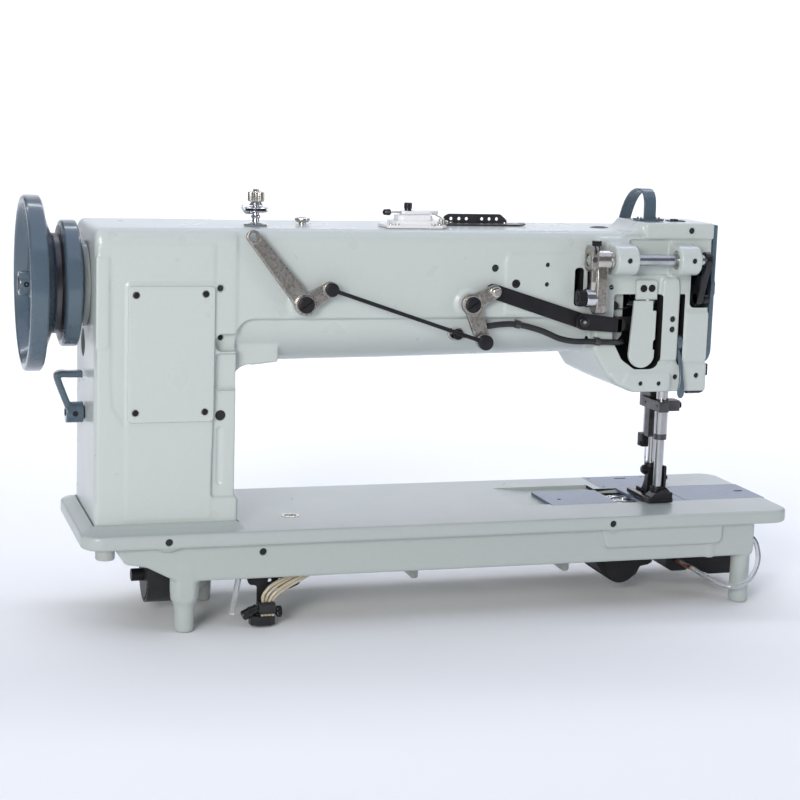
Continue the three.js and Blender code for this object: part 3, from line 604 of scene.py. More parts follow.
CHROME = metal("chrome_bright", (0.78, 0.78, 0.80), (0.62, 0.62, 0.65), (0.05, 0.14), peel=0.02, scale=800.0)
PLATE = metal("steel_plate", (0.185, 0.222, 0.295), (0.17, 0.206, 0.278), (0.26, 0.38), grain=(0.12, 1.0, 1.0), peel=0.05, scale=1600.0, metallic=0.7)
DARKSTEEL = metal("steel_dark", (0.13, 0.125, 0.13), (0.075, 0.072, 0.078), (0.26, 0.42), peel=0.12, metallic=0.8, scale=1300.0)
RUBBER = plastic("rubber_black", (0.012, 0.012, 0.013), (0.022, 0.022, 0.024), (0.34, 0.5), 0.1)
CLEAR = plastic("hose_clear", (0.80, 0.83, 0.85), (0.72, 0.76, 0.79), (0.08, 0.2), 0.05, transmission=0.75, coat=0.3)
CREAM = plastic("hose_cream", (0.62, 0.55, 0.42), (0.48, 0.41, 0.30), (0.2, 0.32), 0.05, transmission=0.1, subsurface=0.15, coat=0.3)
WHITE = plastic("white_enamel", (0.86, 0.86, 0.85), (0.80, 0.80, 0.80), (0.25, 0.38), 0.15, coat=0.2)
GREY = plastic("grey_rubber", (0.40, 0.42, 0.40), (0.36, 0.38, 0.36), (0.5, 0.65), 0.2)
# Near-black material used as painted shade. It colours the insides of holes, slots and cavities and the discs sunk in
# the holes.
PAINTED_SHADE = plastic("painted_shade_black", (0.008, 0.008, 0.009), (0.014, 0.014, 0.015), (0.6, 0.8), 0.1)

# ================================================================ arm casting
TOP = fillet([(-65, 198.5), (-65, 284), (60, 284), (60, 198.5)], [2.5, 12, 12, 2.5], 8)
FULL = fillet([(-66.5, 0.35), (-66.5, 284), (66, 284), (66, 0.35)], [0, 12, 12, 0], 8)


def belly_mesh():
    verts, faces = [], []
    stations = [(126, 50.0), (300, 48.0), (498, 44.5), (522, 44.0)]
    k = 40
    for x, h in stations:
        for i in range(k):
            t = math.radians(180 + 180 * i / (k - 1))
            verts.append((x, -2 + 58 * math.cos(t), 201 + h * math.sin(t)))
        verts.append((x, 55, 212))
        verts.append((x, -59, 212))
    n = k + 2
    for s in range(len(stations) - 1):
        for i in range(n):
            j = (i + 1) % n
            faces.append((s * n + i, s * n + j, (s + 1) * n + j, (s + 1) * n + i))
    faces.append(tuple(range(n)))
    faces.append(tuple(range((len(stations) - 1) * n, len(stations) * n)))
    return mesh_of(verts, faces)


def arm():
    s = [
        prism("x", FULL, 0, 134, b0=7, b1=3, segs=6),
        prism("x", TOP, 120, 622, b0=0, b1=1.2),
        belly_mesh(),
        # foot of the column
        prism("z", rrect(0.4, 137.5, -67.5, 67.5, 4, 5), 0.35, 28, b0=0, b1=1.5),
        # rounded inner corner under the arm
        prism("y", [(128, 203), (178, 203), (178, 155.5)] + arc(150, 136.6, 16.5, 78, 180, 10)[::1] + [(133.5, 128), (128, 128)], -50, 46, 2),
        # corner between the ledge and the column
        prism("y", [(128, 203), (150, 203), (150, 198.5)] + arc(150, 182.5, 16, 90, 180, 8) + [(128, 182.5)], -65, 58, 1),
        # head
        prism("y", fillet([(496, 215), (498, 163), (518, 133), (540, 122.5), (622, 122.5), (622, 279), (496, 279)], [0, 6, 8, 8, 2, 4, 0], 5), -66, 60, 2.5),
        # block on top of the head with its big run-out
        prism("x", fillet([(-69, 277.6), (-69, 293.5), (1, 293.5), (7, 277.6)], [0.5, 2.0, 5, 0], 5), 546.5, 622, b0=1.6, b1=1),
        prism("y", [(524, 280), (524, 284.2)] + arc(529, 302, 18, 270, 335, 8) + [(548.5, 293.2), (562, 293.2), (562, 280)], -66, 3, 2.5),
        # lower band of the head
        prism("y", fillet([(533, 152), (516, 139.5), (523, 130.5), (541, 122.6), (622, 122.6), (622, 152)], [3, 3, 5, 6, 1, 2], 4), -69, -60, b0=1.2),
        prism("y", fillet([(536, 143), (528, 132), (541, 122.8), (582, 122.8), (582, 143)], [2, 4, 6, 0.5, 7], 5), -70.6, -60, b0=1.2),
        # rib beside the tongue cover, long boss for the two screws above it
        prism("y", fillet([(565.8, 154), (568.2, 239), (586.4, 239), (587.8, 225), (587.8, 154)], [3, 5, 4, 3, 1], 4), -70.6, -60, b0=2.2),
        prism("y", fillet([(596.6, 154), (596.6, 204), (622, 204), (622, 154)], [1, 2, 2, 2], 3), -67.6, -60, b0=0.8),
        # raised faces of the column
        prism("y", fillet([(0.6, 171), (0.6, 258), (13.2, 258), (13.2, 171)], [3, 1.5, 1.5, 6], 3), -68.6, -60, b0=1.2),
        prism("y", fillet([(29, 8), (29, 234.5), (111.6, 234.5), (111.6, 8)], [0.5, 3, 0.5, 0.5], 4), -67.9, -60, b0=1.2),
        prism("y", fillet([(2, 6), (2, 226), (14.5, 226), (14.5, 120), (30, 96), (30, 6)], [1, 1, 1, 8, 8, 1], 4), -67.4, -60, b0=1.0),
        prism("y", fillet([(2, 236), (2, 270), (111.6, 270), (111.6, 236)], [2, 6, 1.5, 1.5], 4), -67.4, -60, b0=1.0),
        # flat pad of the arm above the linkage
        prism("y", fillet([(402, 203), (400.5, 262), (497, 262), (497, 203)], [1, 8, 1, 1], 5), -66.6, -60, b0=0.6),
        # bosses behind the two cranks
        lathe("y", [(-67.6, 12), (-66.6, 13.4), (-60, 15)], LIFT_A, 40),
        lathe("y", [(-67.6, 12), (-66.6, 13.4), (-60, 15)], BELL_C, 40),
        # shoulders of the head beside the lugs
        prism("y", fillet([(497, 240), (497, 277), (545, 277), (545, 240)], 4, 4), -67.2, -60, b0=1),
    ]
    for x0, x1 in ((507.5, 531), (575.5, 598.6)):
        s.append(prism("x", arc(ROCK_Y, ROCK_Z, 15, 80, 280, 24) + [(-60, 240.5), (-60, 274)], x0, x1, 1.4))
    body = join(*s)
    # soft recesses
    body2 = soften(body, 1.15, 0)
    tools = [
        prism("y", fillet([(110.4, 28.5), (150, 28.5), (150, 132), (112, 132)], [4, 0, 0, 2], 4), -80, -63.4, b1=1.6, b0=0),
        prism("y", fillet([(112.2, 133), (150, 133), (150, 166.5), (112.2, 166.5)], [2, 0, 0, 5], 4), -80, -62.0, b1=1.6, b0=0),
        prism("y", fillet([(112.9, 168.4), (150, 168.4), (150, 185.2), (112.9, 185.2)], [7, 0, 0, 7], 6), -80, -57.0, b1=2.2, b0=0),
        prism("y", rrect(115.8, 121.5, 40, 96, 2.8, 5), -80, -61.6, b1=1.4, b0=0),
        box(531, 575.5, -90, -63.8, 241, 276.8),
    ]
    body2 = cut(body2, *tools)
    skin = soften(body2, 1.1, 3, 0.5, faces=None)
    return skin


skin = arm()
n0 = len(skin.polygons)
o = _link(skin)
d = o.modifiers.new("d", "DECIMATE")
d.ratio = min(1.0, 150000 / (2.0 * n0))
new = _eval(o)
bpy.data.objects.remove(o)
skin = new
print("arm skin", n0, len(skin.polygons))


def hole(axis, a0, a1, c, r, mouth=None, ch=0.6, n=32):
    """Drill tool along an axis; mouth is the coordinate of the surface it breaks, with a chamfer."""
    if mouth is None:
        return lathe(axis, [(a0, r), (a1, r)], c, n)
    s = 1 if a1 > mouth else -1
    return lathe(axis, sorted([(mouth - s * 4, r + ch + 2.0), (mouth - s * 0.3, r + ch), (mouth + s * (ch + 0.1), r), (a1 if s > 0 else a0, r)]), c, n)


tools = [
    box(28, 110, -36, 40, -5, 266), box(100, 500, -34, 38, 170, 262), prism("y", [(494, 262), (494, 173), (504.5, 167.5), (523, 141.5), (543, 134), (630, 134), (630, 262)], -52, 46),
    box(38.5, 103.5, -75, -30, 112, 221),
    lathe("x", rod(-20, 40, 24, 0), (0, SHAFT_Z), 64),
    lathe("x", rod(-20, 40, 13.5, 0), (15, 167.5), 48),
    lathe("x", rod(-20, 40, 6.55, 0), (5, 101), 32),
    prism("y", rrect(473.3, 482.8, 210.4, 248.6, 3.5, 5), -75, -30),
    prism("y", fillet([(517, 222), (517, 176), (528, 156), (541, 146), (569, 146), (569, 222)], [3, 16, 12, 10, 12, 3], 6), -80, -45),
    prism("y", fillet([(600, 208), (600, 246), (630, 246), (630, 208)], [5, 1.5, 0, 0], 5), -75, -45),
    prism("y", rrect(588.5, 594.9, 150, 222, 1.6, 4), -80, -50),
    box(581.5, 605, -24, 11.5, 80, 140),
    lathe("z", rod(80, 140, 6.45, 0), (NX, PRESS_Y), 40),
    prism("y", rrect(603.5, 613, 176, 256, 4, 5), 30, 75),
    lathe("z", rod(258, 300, 3.35, 0), (311, -25), 24), lathe("z", rod(258, 300, 3.35, 0), (158, -28), 24),
    lathe("y", rod(-75, -50, 4.35, 0), LIFT_A, 24), lathe("y", rod(-75, -50, 4.35, 0), BELL_C, 24),
    lathe("y", rod(50, 75, 6.35, 0), (62, 150), 32), lathe("y", rod(45, 75, 4.35, 0), (560, 206), 24),
    lathe("y", rod(-75, -54, 4.4, 0), (374, 188.2), 24),
]
HOLES = ((117.5, 228.4, 2.9, -65), (119.5, 107.1, 5, -63.4), (119.7, 180.7, 2.6, -57), (390.2, 247.7, 3.6, -65), (444.5, 251.2, 2.2, -66.6), (444.4, 231.9, 2.2, -66.6),
                   (580.5, 197.0, 3.0, -70.6), (580.6, 186.5, 3.0, -70.6), (549, 131.6, 2.3, -70.6), (569, 131.3, 2.3, -70.6), (587.5, 137.7, 2.6, -69), (610.9, 138.9, 2.6, -69), (597, 286, 3.1, -69))
for x, z, r, y in HOLES:
    tools.append(hole("y", y, y + 14, (x, z), r, y, 0.5))
for x in (520.2, 590.0):  # set-screw holes of the lugs, square to the shaft
    tools.append(lathe("y", [(-110, 4.2), (-95.1, 3.9), (-94, 2.7), (-82, 2.7)], (x, ROCK_Z + 0.5), 24))
for x0, x1 in ((507.5, 531), (575.5, 598.6)):
    tools.append(lathe("x", [(x0 - 5, 8.5), (x0 + 0.6, 7.0), (x0 + 1.2, 6.2), (x1 - 1.2, 6.2), (x1 - 0.6, 7.0), (x1 + 5, 8.5)], (ROCK_Y, ROCK_Z), 40))
tools.append(lathe("x", [(571, 10.4), (575.3, 10.0), (576.2, 9.2), (579.6, 9.2)], (ROCK_Y, ROCK_Z), 48))
skin = cut(skin, *tools)
for x in (150, 330, 486):  # webs that carry the main shaft
    web = cut(box(x, x + 8, -36, 40, 168, 264), lathe("x", rod(x - 6, x + 14, 7.85, 0), (0, SHAFT_Z), 40))
    skin = add(skin, web)
# Faces inside the arm's hollows, slots and pockets take the near-black material as painted shade.
piece("arm_casting_skin", skin, "frame", ENAMEL, "arm_casting", sharp=40,
      inside=(PAINTED_SHADE, ((27, 111, -37, 41, -2, 267), (99, 501, -35, 39, 169, 263), (498, 621.9, -53, 47, 174, 263), (526, 621.9, -53, 47, 133, 174), (516, 570, -65, -50, 145, 223), (587, 597, -64.5, -50, 149, 223), (472.5, 483.5, -63.5, -33, 209, 249.5), (599.5, 621.9, -63.5, -45, 207, 247))))
# Black discs sunk a little way into the drilled holes give painted shade at the hole bottoms.
shade_disc_meshes = [lathe("y", [(y + 1.6, 0), (y + 1.6, r - 0.02), (y + 2.4, r - 0.02), (y + 2.4, 0)], (x, z), 24) for x, z, r, y in HOLES]
shade_disc_meshes += [lathe("y", [(-92.4, 0), (-92.4, 2.68), (-91.6, 2.68), (-91.6, 0)], (x, ROCK_Z + 0.5), 24) for x in (520.2, 590.0)]
piece("hole_shade_discs_arm", join(*shade_disc_meshes), "frame", PAINTED_SHADE)


# ================================================================ bed casting
def bed():
    s = [
        prism("z", rrect(-14, 717, -94.5, 94.5, 20, 10), -13.5, 0, b0=1.2, b1=2.2, segs=3),
        prism("y", fillet([(18, -5), (18, -16), (27, -29.5), (47, -33), (76.6, -48.5), (680, -48.5), (680, -5)], [0, 3, 5, 10, 8, 5, 0], 5), -86, 86, 2.2),
        # raised pads on the long sides
        prism("y", fillet([(505, -10), (512, -33), (641, -33), (641, -10)], [0, 5, 6, 0], 5), -90.6, 90.6, 1.6),
        prism("y", fillet([(626, -10), (626, -49), (634, -49), (634, -10)], 1, 3), -87.2, 87.2, 1.2),
        # bulges round the fixing holes under the lip
        prism("y", [(66.6 + 11 * math.cos(t), -12.5 + 4.8 * math.sin(t)) for t in np.linspace(0, 2 * math.pi, 33)[:-1]], -92.2, 92.2, 2.0),
        prism("y", [(516.8 + 9 * math.cos(t), -11 + 6.6 * math.sin(t)) for t in np.linspace(0, 2 * math.pi, 33)[:-1]], -92.2, 92.2, 2.0),
        # ribs
        box(110, 118, -84, 84, -46, -6), box(330, 338, -84, 84, -46, -6), box(496, 504, -84, 84, -46, -6),
        box(110, 118, -16, 16, -76, -40, 2), box(330, 338, -16, 16, -76, -40, 2), box(496, 504, -16, 16, -76, -40, 2),
    ]
    for y in (-74, 74):
        s.append(prism("z", [(671 + 9.6 * math.cos(t) + (0.0), y + 11.0 * math.sin(t)) for t in np.linspace(0, 2 * math.pi, 49)[:-1]], -99.5, -30, b0=1.6, b1=0, segs=3))
    for x, y in ((85, -74), (85, 74)):
        s.append(cut(lathe("z", [(-99.5, 7.6), (-98.4, 8.8), (-96.5, 9.4), (-75, 10.0), (-71, 11.2), (-67.5, 13.2), (-60, 13.9), (-30, 14.2)], (x, y), 40),
                     box(x - 20, x + 20, *sorted((y * 86.3 / 74, y * 1.5)), -110, -20)))
    s.append(lathe("z", [(-99.5, 6), (-98, 7.2), (-60, 8.4), (-30, 9)], (124, 30), 32))
    s.append(box(112, 136, 22, 38, -48.5, -6, 2))
    me = soften(join(*s), 1.25, 0)
    # the open underside
    hollow = cut(box(26, 674, -80, 80, -60, -9), box(108, 120, -90, 90, -46, -3), box(328, 340, -90, 90, -46, -3), box(494, 506, -90, 90, -46, -3),
                 box(108, 120, -18, 18, -80, -3), box(328, 340, -18, 18, -80, -3), box(494, 506, -18, 18, -80, -3),
                 box(111, 137, 21, 39, -61, -3),
                 *[lathe("z", rod(-70, -2, 14.3, 0), c, 40) for c in ((85, -74), (85, 74))], *[lathe("z", rod(-70, -2, 11.3, 0), c, 40) for c in ((671, -74), (671, 74))])
    me = cut(me, hollow)
    # low raised land that the column stands on
    land = []
    for d, z in ((0, -2), (0, 0.0), (1.5, 0.35), (9, 3.0), (13, 5.2), (15, 6.2), (15.5, 3)):
        land.append([(x, y, z) for x, y in rrect(-13.0 + d * 0.86, 143.5 - d * 0.42, -88 + d * 1.22, 88 - d * 1.22, 16 - d * 0.6, 6)])
    k = len(land[0])
    faces = [(r * k + i, r * k + (i + 1) % k, (r + 1) * k + (i + 1) % k, (r + 1) * k + i) for r in range(len(land) - 1) for i in range(k)]
    faces += [tuple(range(k)), tuple(range((len(land) - 1) * k, len(land) * k))]
    land = cut(mesh_of([p for r in land for p in r], faces), box(-0.3, 138.2, -68.2, 68.2, 0.1, 20))
    me = add(me, land)
    return soften(me, 1.2, 2, 0.5, faces=170000)


skin = bed()
print("bed skin", len(skin.polygons))
tools = [
    box(30, 108, -34, 34, -30, 12), box(543, 622, -29, 27, -20, 12),
    box(474, 717.8, -33.6, 33.6, -3.4, 12),
    prism("y", [(440, 3), (440, 0.3), (441.5, -0.3), (474.5, -3.4), (474.5, 3)], -28, 54),
    box(474, 548, 30, 54, -3.4, 12),
    prism("z", rrect(557.5, 632.5, 35.6, 90.4, 1.5, 3), -3.4, 12),
    lathe("x", rod(100, 130, 6.55, 0), (0, LOWER_Z), 32), lathe("x", rod(320, 345, 6.55, 0), (0, LOWER_Z), 32), lathe("x", rod(490, 510, 6.55, 0), (0, LOWER_Z), 32),
    lathe("z", [(-2.2, 9.4), (12, 9.4)], (197, -34), 48), lathe("z", [(-9, 4.0), (12, 4.0)], (197, -34), 32),
    lathe("z", [(-4, 1.4), (12, 1.4)], (216, 37), 16),
    hole("z", -7, 2, (640, 45), 1.6, None), hole("z", -7, 2, (461, 74), 1.3, None),
]
HOLES = ((66.6, -7.2, 3.4, -94.5), (158.7, -22, 3.4, -86), (516.8, -7, 3.3, -94.5))
for x, z, r, y in HOLES:
    tools.append(hole("y", y, y + 13, (x, z), r, y, 0.7))
skin = cut(skin, *tools)
# Faces in the hook pocket, the ledge recess beside it and the open underside take the near-black material as painted
# shade.
piece("bed_casting_skin", skin, "frame", ENAMEL_BED_SHADED, "bed_casting", sharp=40,
      inside=(PAINTED_SHADE, ((542.5, 622.5, -29.5, 27.5, -20, -3.5), (541, 575, 26.5, 54.5, -4, -0.4), (480, 560, -80, 80, -60, -8.9))))
# Black discs sunk in the bed's fixing holes give painted shade at the hole bottoms.
piece("hole_shade_discs_bed", join(*[lathe("y", [(y + 1.8, 0), (y + 1.8, r - 0.02), (y + 2.6, r - 0.02), (y + 2.6, 0)], (x, z), 24) for x, z, r, y in HOLES]), "frame", PAINTED_SHADE)

# ================================================================ camera, light, floor
FWD = Vector((0.2932, 0.9411, -0.1684))
az, el, roll = math.radians(-17.306), math.radians(9.697), math.radians(1.860)
FWD = Vector((-math.sin(az) * math.cos(el), math.cos(az) * math.cos(el), -math.sin(el)))
right = FWD.cross(Vector((0, 0, 1))).normalized()
up = right.cross(FWD)
cx = right * math.cos(roll) + up * math.sin(roll)
cy = -right * math.sin(roll) + up * math.cos(roll)
cam_data = bpy.data.cameras.new("camera")
cam_data.sensor_width, cam_data.lens = 36.0, 84.2526
cam_data.clip_start, cam_data.clip_end = 0.05, 50
cam = bpy.data.objects.new("camera", cam_data)
bpy.context.scene.collection.objects.link(cam)
m = Matrix((cx, cy, -FWD)).transposed().to_4x4()
m.translation = W(-238.105, -1781.490, 426.094)
cam.matrix_world = m
bpy.context.scene.camera = cam


def area(name, loc, target, size, power, color=(1, 1, 1), size_y=None):
    l = bpy.data.lights.new(name, "AREA")
    l.shape = "RECTANGLE"
    l.size, l.size_y = size, size_y or size
    l.energy, l.color = power, color
    o = bpy.data.objects.new(name, l)
    bpy.context.scene.collection.objects.link(o)
    o.location = loc
    o.rotation_mode = "QUATERNION"
    o.rotation_quaternion = (Vector(target) - Vector(loc)).to_track_quat("-Z", "Y")
    return o


area("overhead", (0.0, 0.0, 2.4), (0.0, 0.0, 0.0), 4.6, 37.0, (0.84, 0.91, 1.16), 3.6)
area("front_soft", (-1.9, -2.7, 1.15), (0, 0, 0.2), 1.2, 74.0, (1.0, 1.0, 0.98), 1.3)
area("right_strip", (2.3, -1.7, 0.9), (0.2, 0, 0.25), 0.35, 9.0, (1.0, 1.0, 1.0), 1.6)
back = Vector((FWD.x, FWD.y, 0)).normalized()
p = back * 1.5
area("wall_wash", (p.x, p.y, 2.5), (p.x + back.x * 1.5, p.y + back.y * 1.5, 0.5), 6.0, 92.0, (0.96, 0.98, 1.05), 0.8)
world = bpy.data.worlds.new("world")
world.use_nodes = True
world.node_tree.nodes["Background"].inputs["Color"].default_value = (0.92, 0.95, 1.0, 1)
world.node_tree.nodes["Background"].inputs["Strength"].default_value = 0.16
bpy.context.scene.world = world
bpy.context.scene.view_settings.view_transform = "Standard"

prof = [(-7.0, 0.0), (2.6, 0.0)] + [(2.6 + 1.4 * math.sin(t), 1.4 - 1.4 * math.cos(t)) for t in np.linspace(0.1, math.pi / 2, 14)] + [(4.0, 4.5)]
side = Vector((back.y, -back.x, 0))
fm = bpy.data.meshes.new("floor")
fm.from_pydata([tuple(back * d + side * w * (1.0 if h < 0.001 else 0.32) + Vector((0, 0, h))) for w in (-8.0, 8.0) for d, h in prof], [],
               [(i, i + 1, len(prof) + i + 1, len(prof) + i) for i in range(len(prof) - 1)])
fm.polygons.foreach_set("use_smooth", [True] * len(fm.polygons))
floor_mat, nt, bs, v = new_mat("floor")
nt.links.new(mix(nt, noise(nt, v, 2.0), (0.955, 0.955, 0.955), (0.965, 0.965, 0.965)), bs.inputs["Base Color"])
bs.inputs["Roughness"].default_value = 0.8
fm.materials.append(floor_mat)
floor = bpy.data.objects.new("floor", fm)
bpy.context.scene.collection.objects.link(floor)
floor.location.z = cad_lo.z - 0.0002

# ================================================================ small parts kit
def rect(c, l, w, ang):
    a = math.radians(ang)
    u, v = (math.cos(a) * l / 2, math.sin(a) * l / 2), (-math.sin(a) * w / 2, math.cos(a) * w / 2)
    return [(c[0] - u[0] - v[0], c[1] - u[1] - v[1]), (c[0] + u[0] - v[0], c[1] + u[1] - v[1]),
            (c[0] + u[0] + v[0], c[1] + u[1] + v[1]), (c[0] - u[0] + v[0], c[1] - u[1] + v[1])]


def span2(a, b):
    return (a, b) if a < b else (b, a)


def screw(axis, surface, out, c, r, h, ang=30, width=None, dome=0.35, n=32, sink=1.0, depth=0.55):
    """Slotted screw head on a surface; out is +1 or -1 along the axis."""
    top = surface + out * h
    prof = [(surface - out * sink, 0), (surface - out * sink, r * 0.8), (surface, r * 0.98), (surface + out * h * 0.5, r), (top - out * dome * 0.5, r * 0.94),
            (top - out * dome * 0.15, r * 0.8), (top, r * 0.5), (top, 0)]
    w = width or max(0.5, r * 0.26)
    a0, a1 = span2(top - out * depth * min(h, 1.6), top + out * 2)
    return cut(lathe(axis, prof, c, n), prism(axis, rect(c, r * 3, w, ang), a0, a1))


def knurled(axis, profile, c, teeth, depth, n=4):
    return lathe(axis, profile, c, teeth * n, flute=lambda t, a, r: 1 - (depth / r if r > 2 else 0) * (0.5 - 0.5 * math.cos(teeth * t)))


def extra(name, me, material, body="frame", sharp=32):
    return piece(name, me, body, material, (), sharp)


# ================================================================ fixed pieces
cover = prism("y", rrect(30.3, 111.4, 102.8, 230.8, 4, 8), -70.6, -67.85, b0=0.8, b1=0)
cover = cut(cover, *[lathe("y", [(-71.2, 3.7), (-70.0, 3.5), (-69.2, 3.3)], c, 32) for c in ((37.5, 222.7), (102.6, 223.7), (37.4, 112.2), (103.0, 112.2))])
piece("rear_cover", cover, "frame", ENAMEL, "column_rear_cover")
heads, rings = [], []
for i, c in enumerate(((37.5, 222.7), (102.6, 223.7), (37.4, 112.2), (103.0, 112.2))):
    heads.append(screw("y", -69.9, -1, c, 2.75, 1.7, ang=(65, -20, 15, 80)[i]))
    rings.append(lathe("y", ring(-70.5, -69.4, 2.8, 3.45, 0.2), c, 32))
extra("rear_cover_screws", join(*heads), BLACK)
extra("rear_cover_washers", join(*rings), NICKEL_FINE)

piece("bearing_ring", cut(
    lathe("x", [(-8, 7.85), (-8, 30), (-8, 35.4), (-7.6, 36.3), (-6.6, 37.2), (-5.4, 39.8), (-4.2, 40.5), (-0.35, 40.5), (-0.35, 23.6), (30, 23.6), (30, 7.85), (-8, 7.85)], (0, SHAFT_Z), 96),
    lathe("x", [(-9, 14), (-9, 29), (-5.4, 27), (-5.4, 16), (-9, 14)], (0, SHAFT_Z), 96)),
    "frame", ENAMEL, "main_bearing_housing")

out = [(-66, 292), (-66, 166)] + arc(-50, 166, 16, 180, 270, 10) + arc(44, 166, 16, 270, 360, 10) + [(60, 280), (50, 288), (6, 292)]
fp = prism("x", fillet(out[:1] + [(-66, 236), (-67.6, 233), (-67.6, 222), (-66, 219)] + out[1:], 1.2, 3), 622.35, 627.5, b0=0.4, b1=2.2, segs=4)
fp = add(fp, lathe("x", ring(613, 623.5, 5.35, 9), (0, 250), 40), lathe("x", ring(615, 623.5, 5.35, 9), (32, 226), 40))
piece("end_cover", fp, "frame", SLATE, "face_plate")
extra("end_cover_screws", join(*[screw("x", 627.3, 1, c, 3.6, 2.0, ang=a) for c, a in (((-52, 278), 20), ((44, 272), 70), ((-50, 163), 45), ((44, 163), 10))]), BLACK)
# black edge parts that show past the head's right edge
extra("edge_clip_low", join(prism("x", fillet([(-60, 120.5), (-60, 124.5), (-40, 124.5), (-40, 119), (-52, 117.5)], 1, 3), 608, 624, 0.6), box(622.4, 625.6, -64, -30, 138, 150, 0.6)), BLACK)

tongue = prism("y", fillet([(538.0, 215.8), (534.6, 161.6)] + arc(548.7, 161.6, 14.1, 180, 346, 24) + [(562.7, 172), (562.7, 215.8)], 0.9, 3), -69.7, -66.35, b0=1.2, b1=0, segs=4)
tongue = cut(tongue, prism("y", rrect(558.2, 568, 205.5, 217, 1.0, 4), -72, -60), prism("y", fillet([(560.2, 166), (560.2, 174.5), (561.4, 176.2), (568, 176.2), (568, 166)], 0.5, 3), -72, -60))
boss = cut(prism("y", fillet([(539.6, 216.6), (539.6, 236.5), (562.6, 236.5), (562.6, 216.6)], [0.6, 3.2, 3.2, 0.6], 5), -69.5, -66.35, b0=1.0, b1=0, segs=3),
           *[lathe("y", [(-71, 4.0), (-68.6, 3.8), (-67, 3.7)], c, 32) for c in ((547.3, 228.0), (556.3, 228.2))])
piece("tongue_cover", join(tongue, boss), "frame", ENAMEL, "spring_cover")
extra("rear_head_screws", join(*[screw("y", -68.2, -1, c, 3.55, 1.7, ang=a) for c, a in (((547.3, 228.0), 20), ((556.3, 228.2), -35))]), BLACK)

plate = framed(rrect(574.2, 624.5, -33.2, 33.2, 0.8, 5), rrect(582, 600.5, -20.5, 17.5, 1.5, 5), -3, 0)
piece("throat_plate", plate, "frame", PLATE, "needle_plate")
extra("throat_plate_screws", join(*[screw("z", -0.9, 1, c, 2.6, 1.0, ang=a) for c, a in (((612, 24), 40), ((612, -24), 100))]), DARKSTEEL)
fpl = prism("z", rrect(557.9, 632.1, 36, 90, 1.5, 4), -3, 0, 0.35)
fpl = cut(fpl, prism("z", rrect(592, 606, 78, 81.5, 1.6, 5), -5, 2), *[lathe("z", [(-1, 1.4), (-0.6, 1.8), (0.6, 2.0)], c, 20) for c in ((563.5, 84), (626, 84), (563.5, 42))], exact=True)
piece("front_plate", fpl, "frame", PLATE, "front_bed_plate")
extra("front_plate_screws", join(*[screw("z", -0.9, 1, c, 1.6, 0.6, ang=a) for c, a in (((563.5, 84), 0), ((626, 84), 45), ((563.5, 42), 80))]), DARKSTEEL)

bush = lathe("z", [(66.5, 5.15), (66.5, 6.0), (66.9, 6.3), (72.4, 6.3), (72.6, 6.8), (103.5, 6.8), (104.2, 6.1), (132, 6.1), (132, 5.15), (66.5, 5.15)], (NX, PRESS_Y), 64)
piece("presser_bushing", bush, "frame", STEEL, "presser_bar_bushing")
extra("presser_bushing_ring", lathe("z", ring(66.55, 72.3, 6.25, 6.75, 0.2), (NX, PRESS_Y), 48), DARKSTEEL)
br = prism("z", fillet([(581, -50), (591.7, -50), (591.7, -42.3), (607.8, -42.3), (607.8, -27.5), (601, -24.9), (583.6, -24.9), (583.6, -4.8), (581, -4.8)], [0.8, 0.8, 1, 1.5, 1.5, 1, 1, 0.8, 0.8], 3), 97.3, 108.3, 0.6)
br = cut(br, lathe("z", [(90, 6.75), (115, 6.75)], (NX, PRESS_Y), 48), box(597.2, 611, -35.4, -34.2, 90, 115), lathe("x", [(579, 1.3), (582.6, 1.3)], (-44, 103.5), 20), lathe("x", [(579, 1.2), (582.6, 1.2)], (-15, 103), 20))
extra("guide_bracket", br, DARKSTEEL)
extra("guide_bracket_screw", cut(lathe("x", rod(605, 611.5, 3.4, 0.5), (-35, 102.6), 32), prism("x", shifted(hexagon(1.6), (-35, 102.6)), 609.6, 614)), BLACK)

pts = []
for i in range(240):
    a = i * 48 * math.pi / 4.6 / 239
    pts.append((NX + 6 * math.cos(a), PRESS_Y + 6 * math.sin(a), 220 + 38 * i / 239))
piece("presser_coil", sweep(pts, circle(1.2, 10)), "frame", STEEL_X, "presser_spring")

tray = prism("z", fillet([(352, -6), (437, -6), (437, 16), (431, 18), (361, 18), (352, 16)], 1, 3), 284.35, 285.7, 0.25)
wall = prism("y", fillet([(361, 285), (430.8, 285), (429.5, 289), (423, 294.5), (367, 294.5), (362.4, 292)], [0, 0, 2, 4, 3, 3], 5), 16.6, 18, 0.3)
wall = cut(wall, *[lathe("y", [(12, 1.7), (22, 1.7)], (x, 289.6), 20) for x in (370, 378.5, 386.5, 403, 411, 419)])
lip = sweep([(437, 5, 285.0), (441, 5, 285.1), (443, 5, 286.2)], [(-8, -0.6), (8, -0.6), (8, 0.6), (-8, 0.6)])
piece("perforated_bracket", join(tray, wall, lip), "frame", DARKSTEEL, "spool_tray_bracket")
extra("perforated_bracket_screws", join(*[screw("z", 285.6, 1, c, 2.4, 1.5, ang=a) for c, a in (((366, 6), 15), ((424, 6), 75))]), NICKEL_FINE)

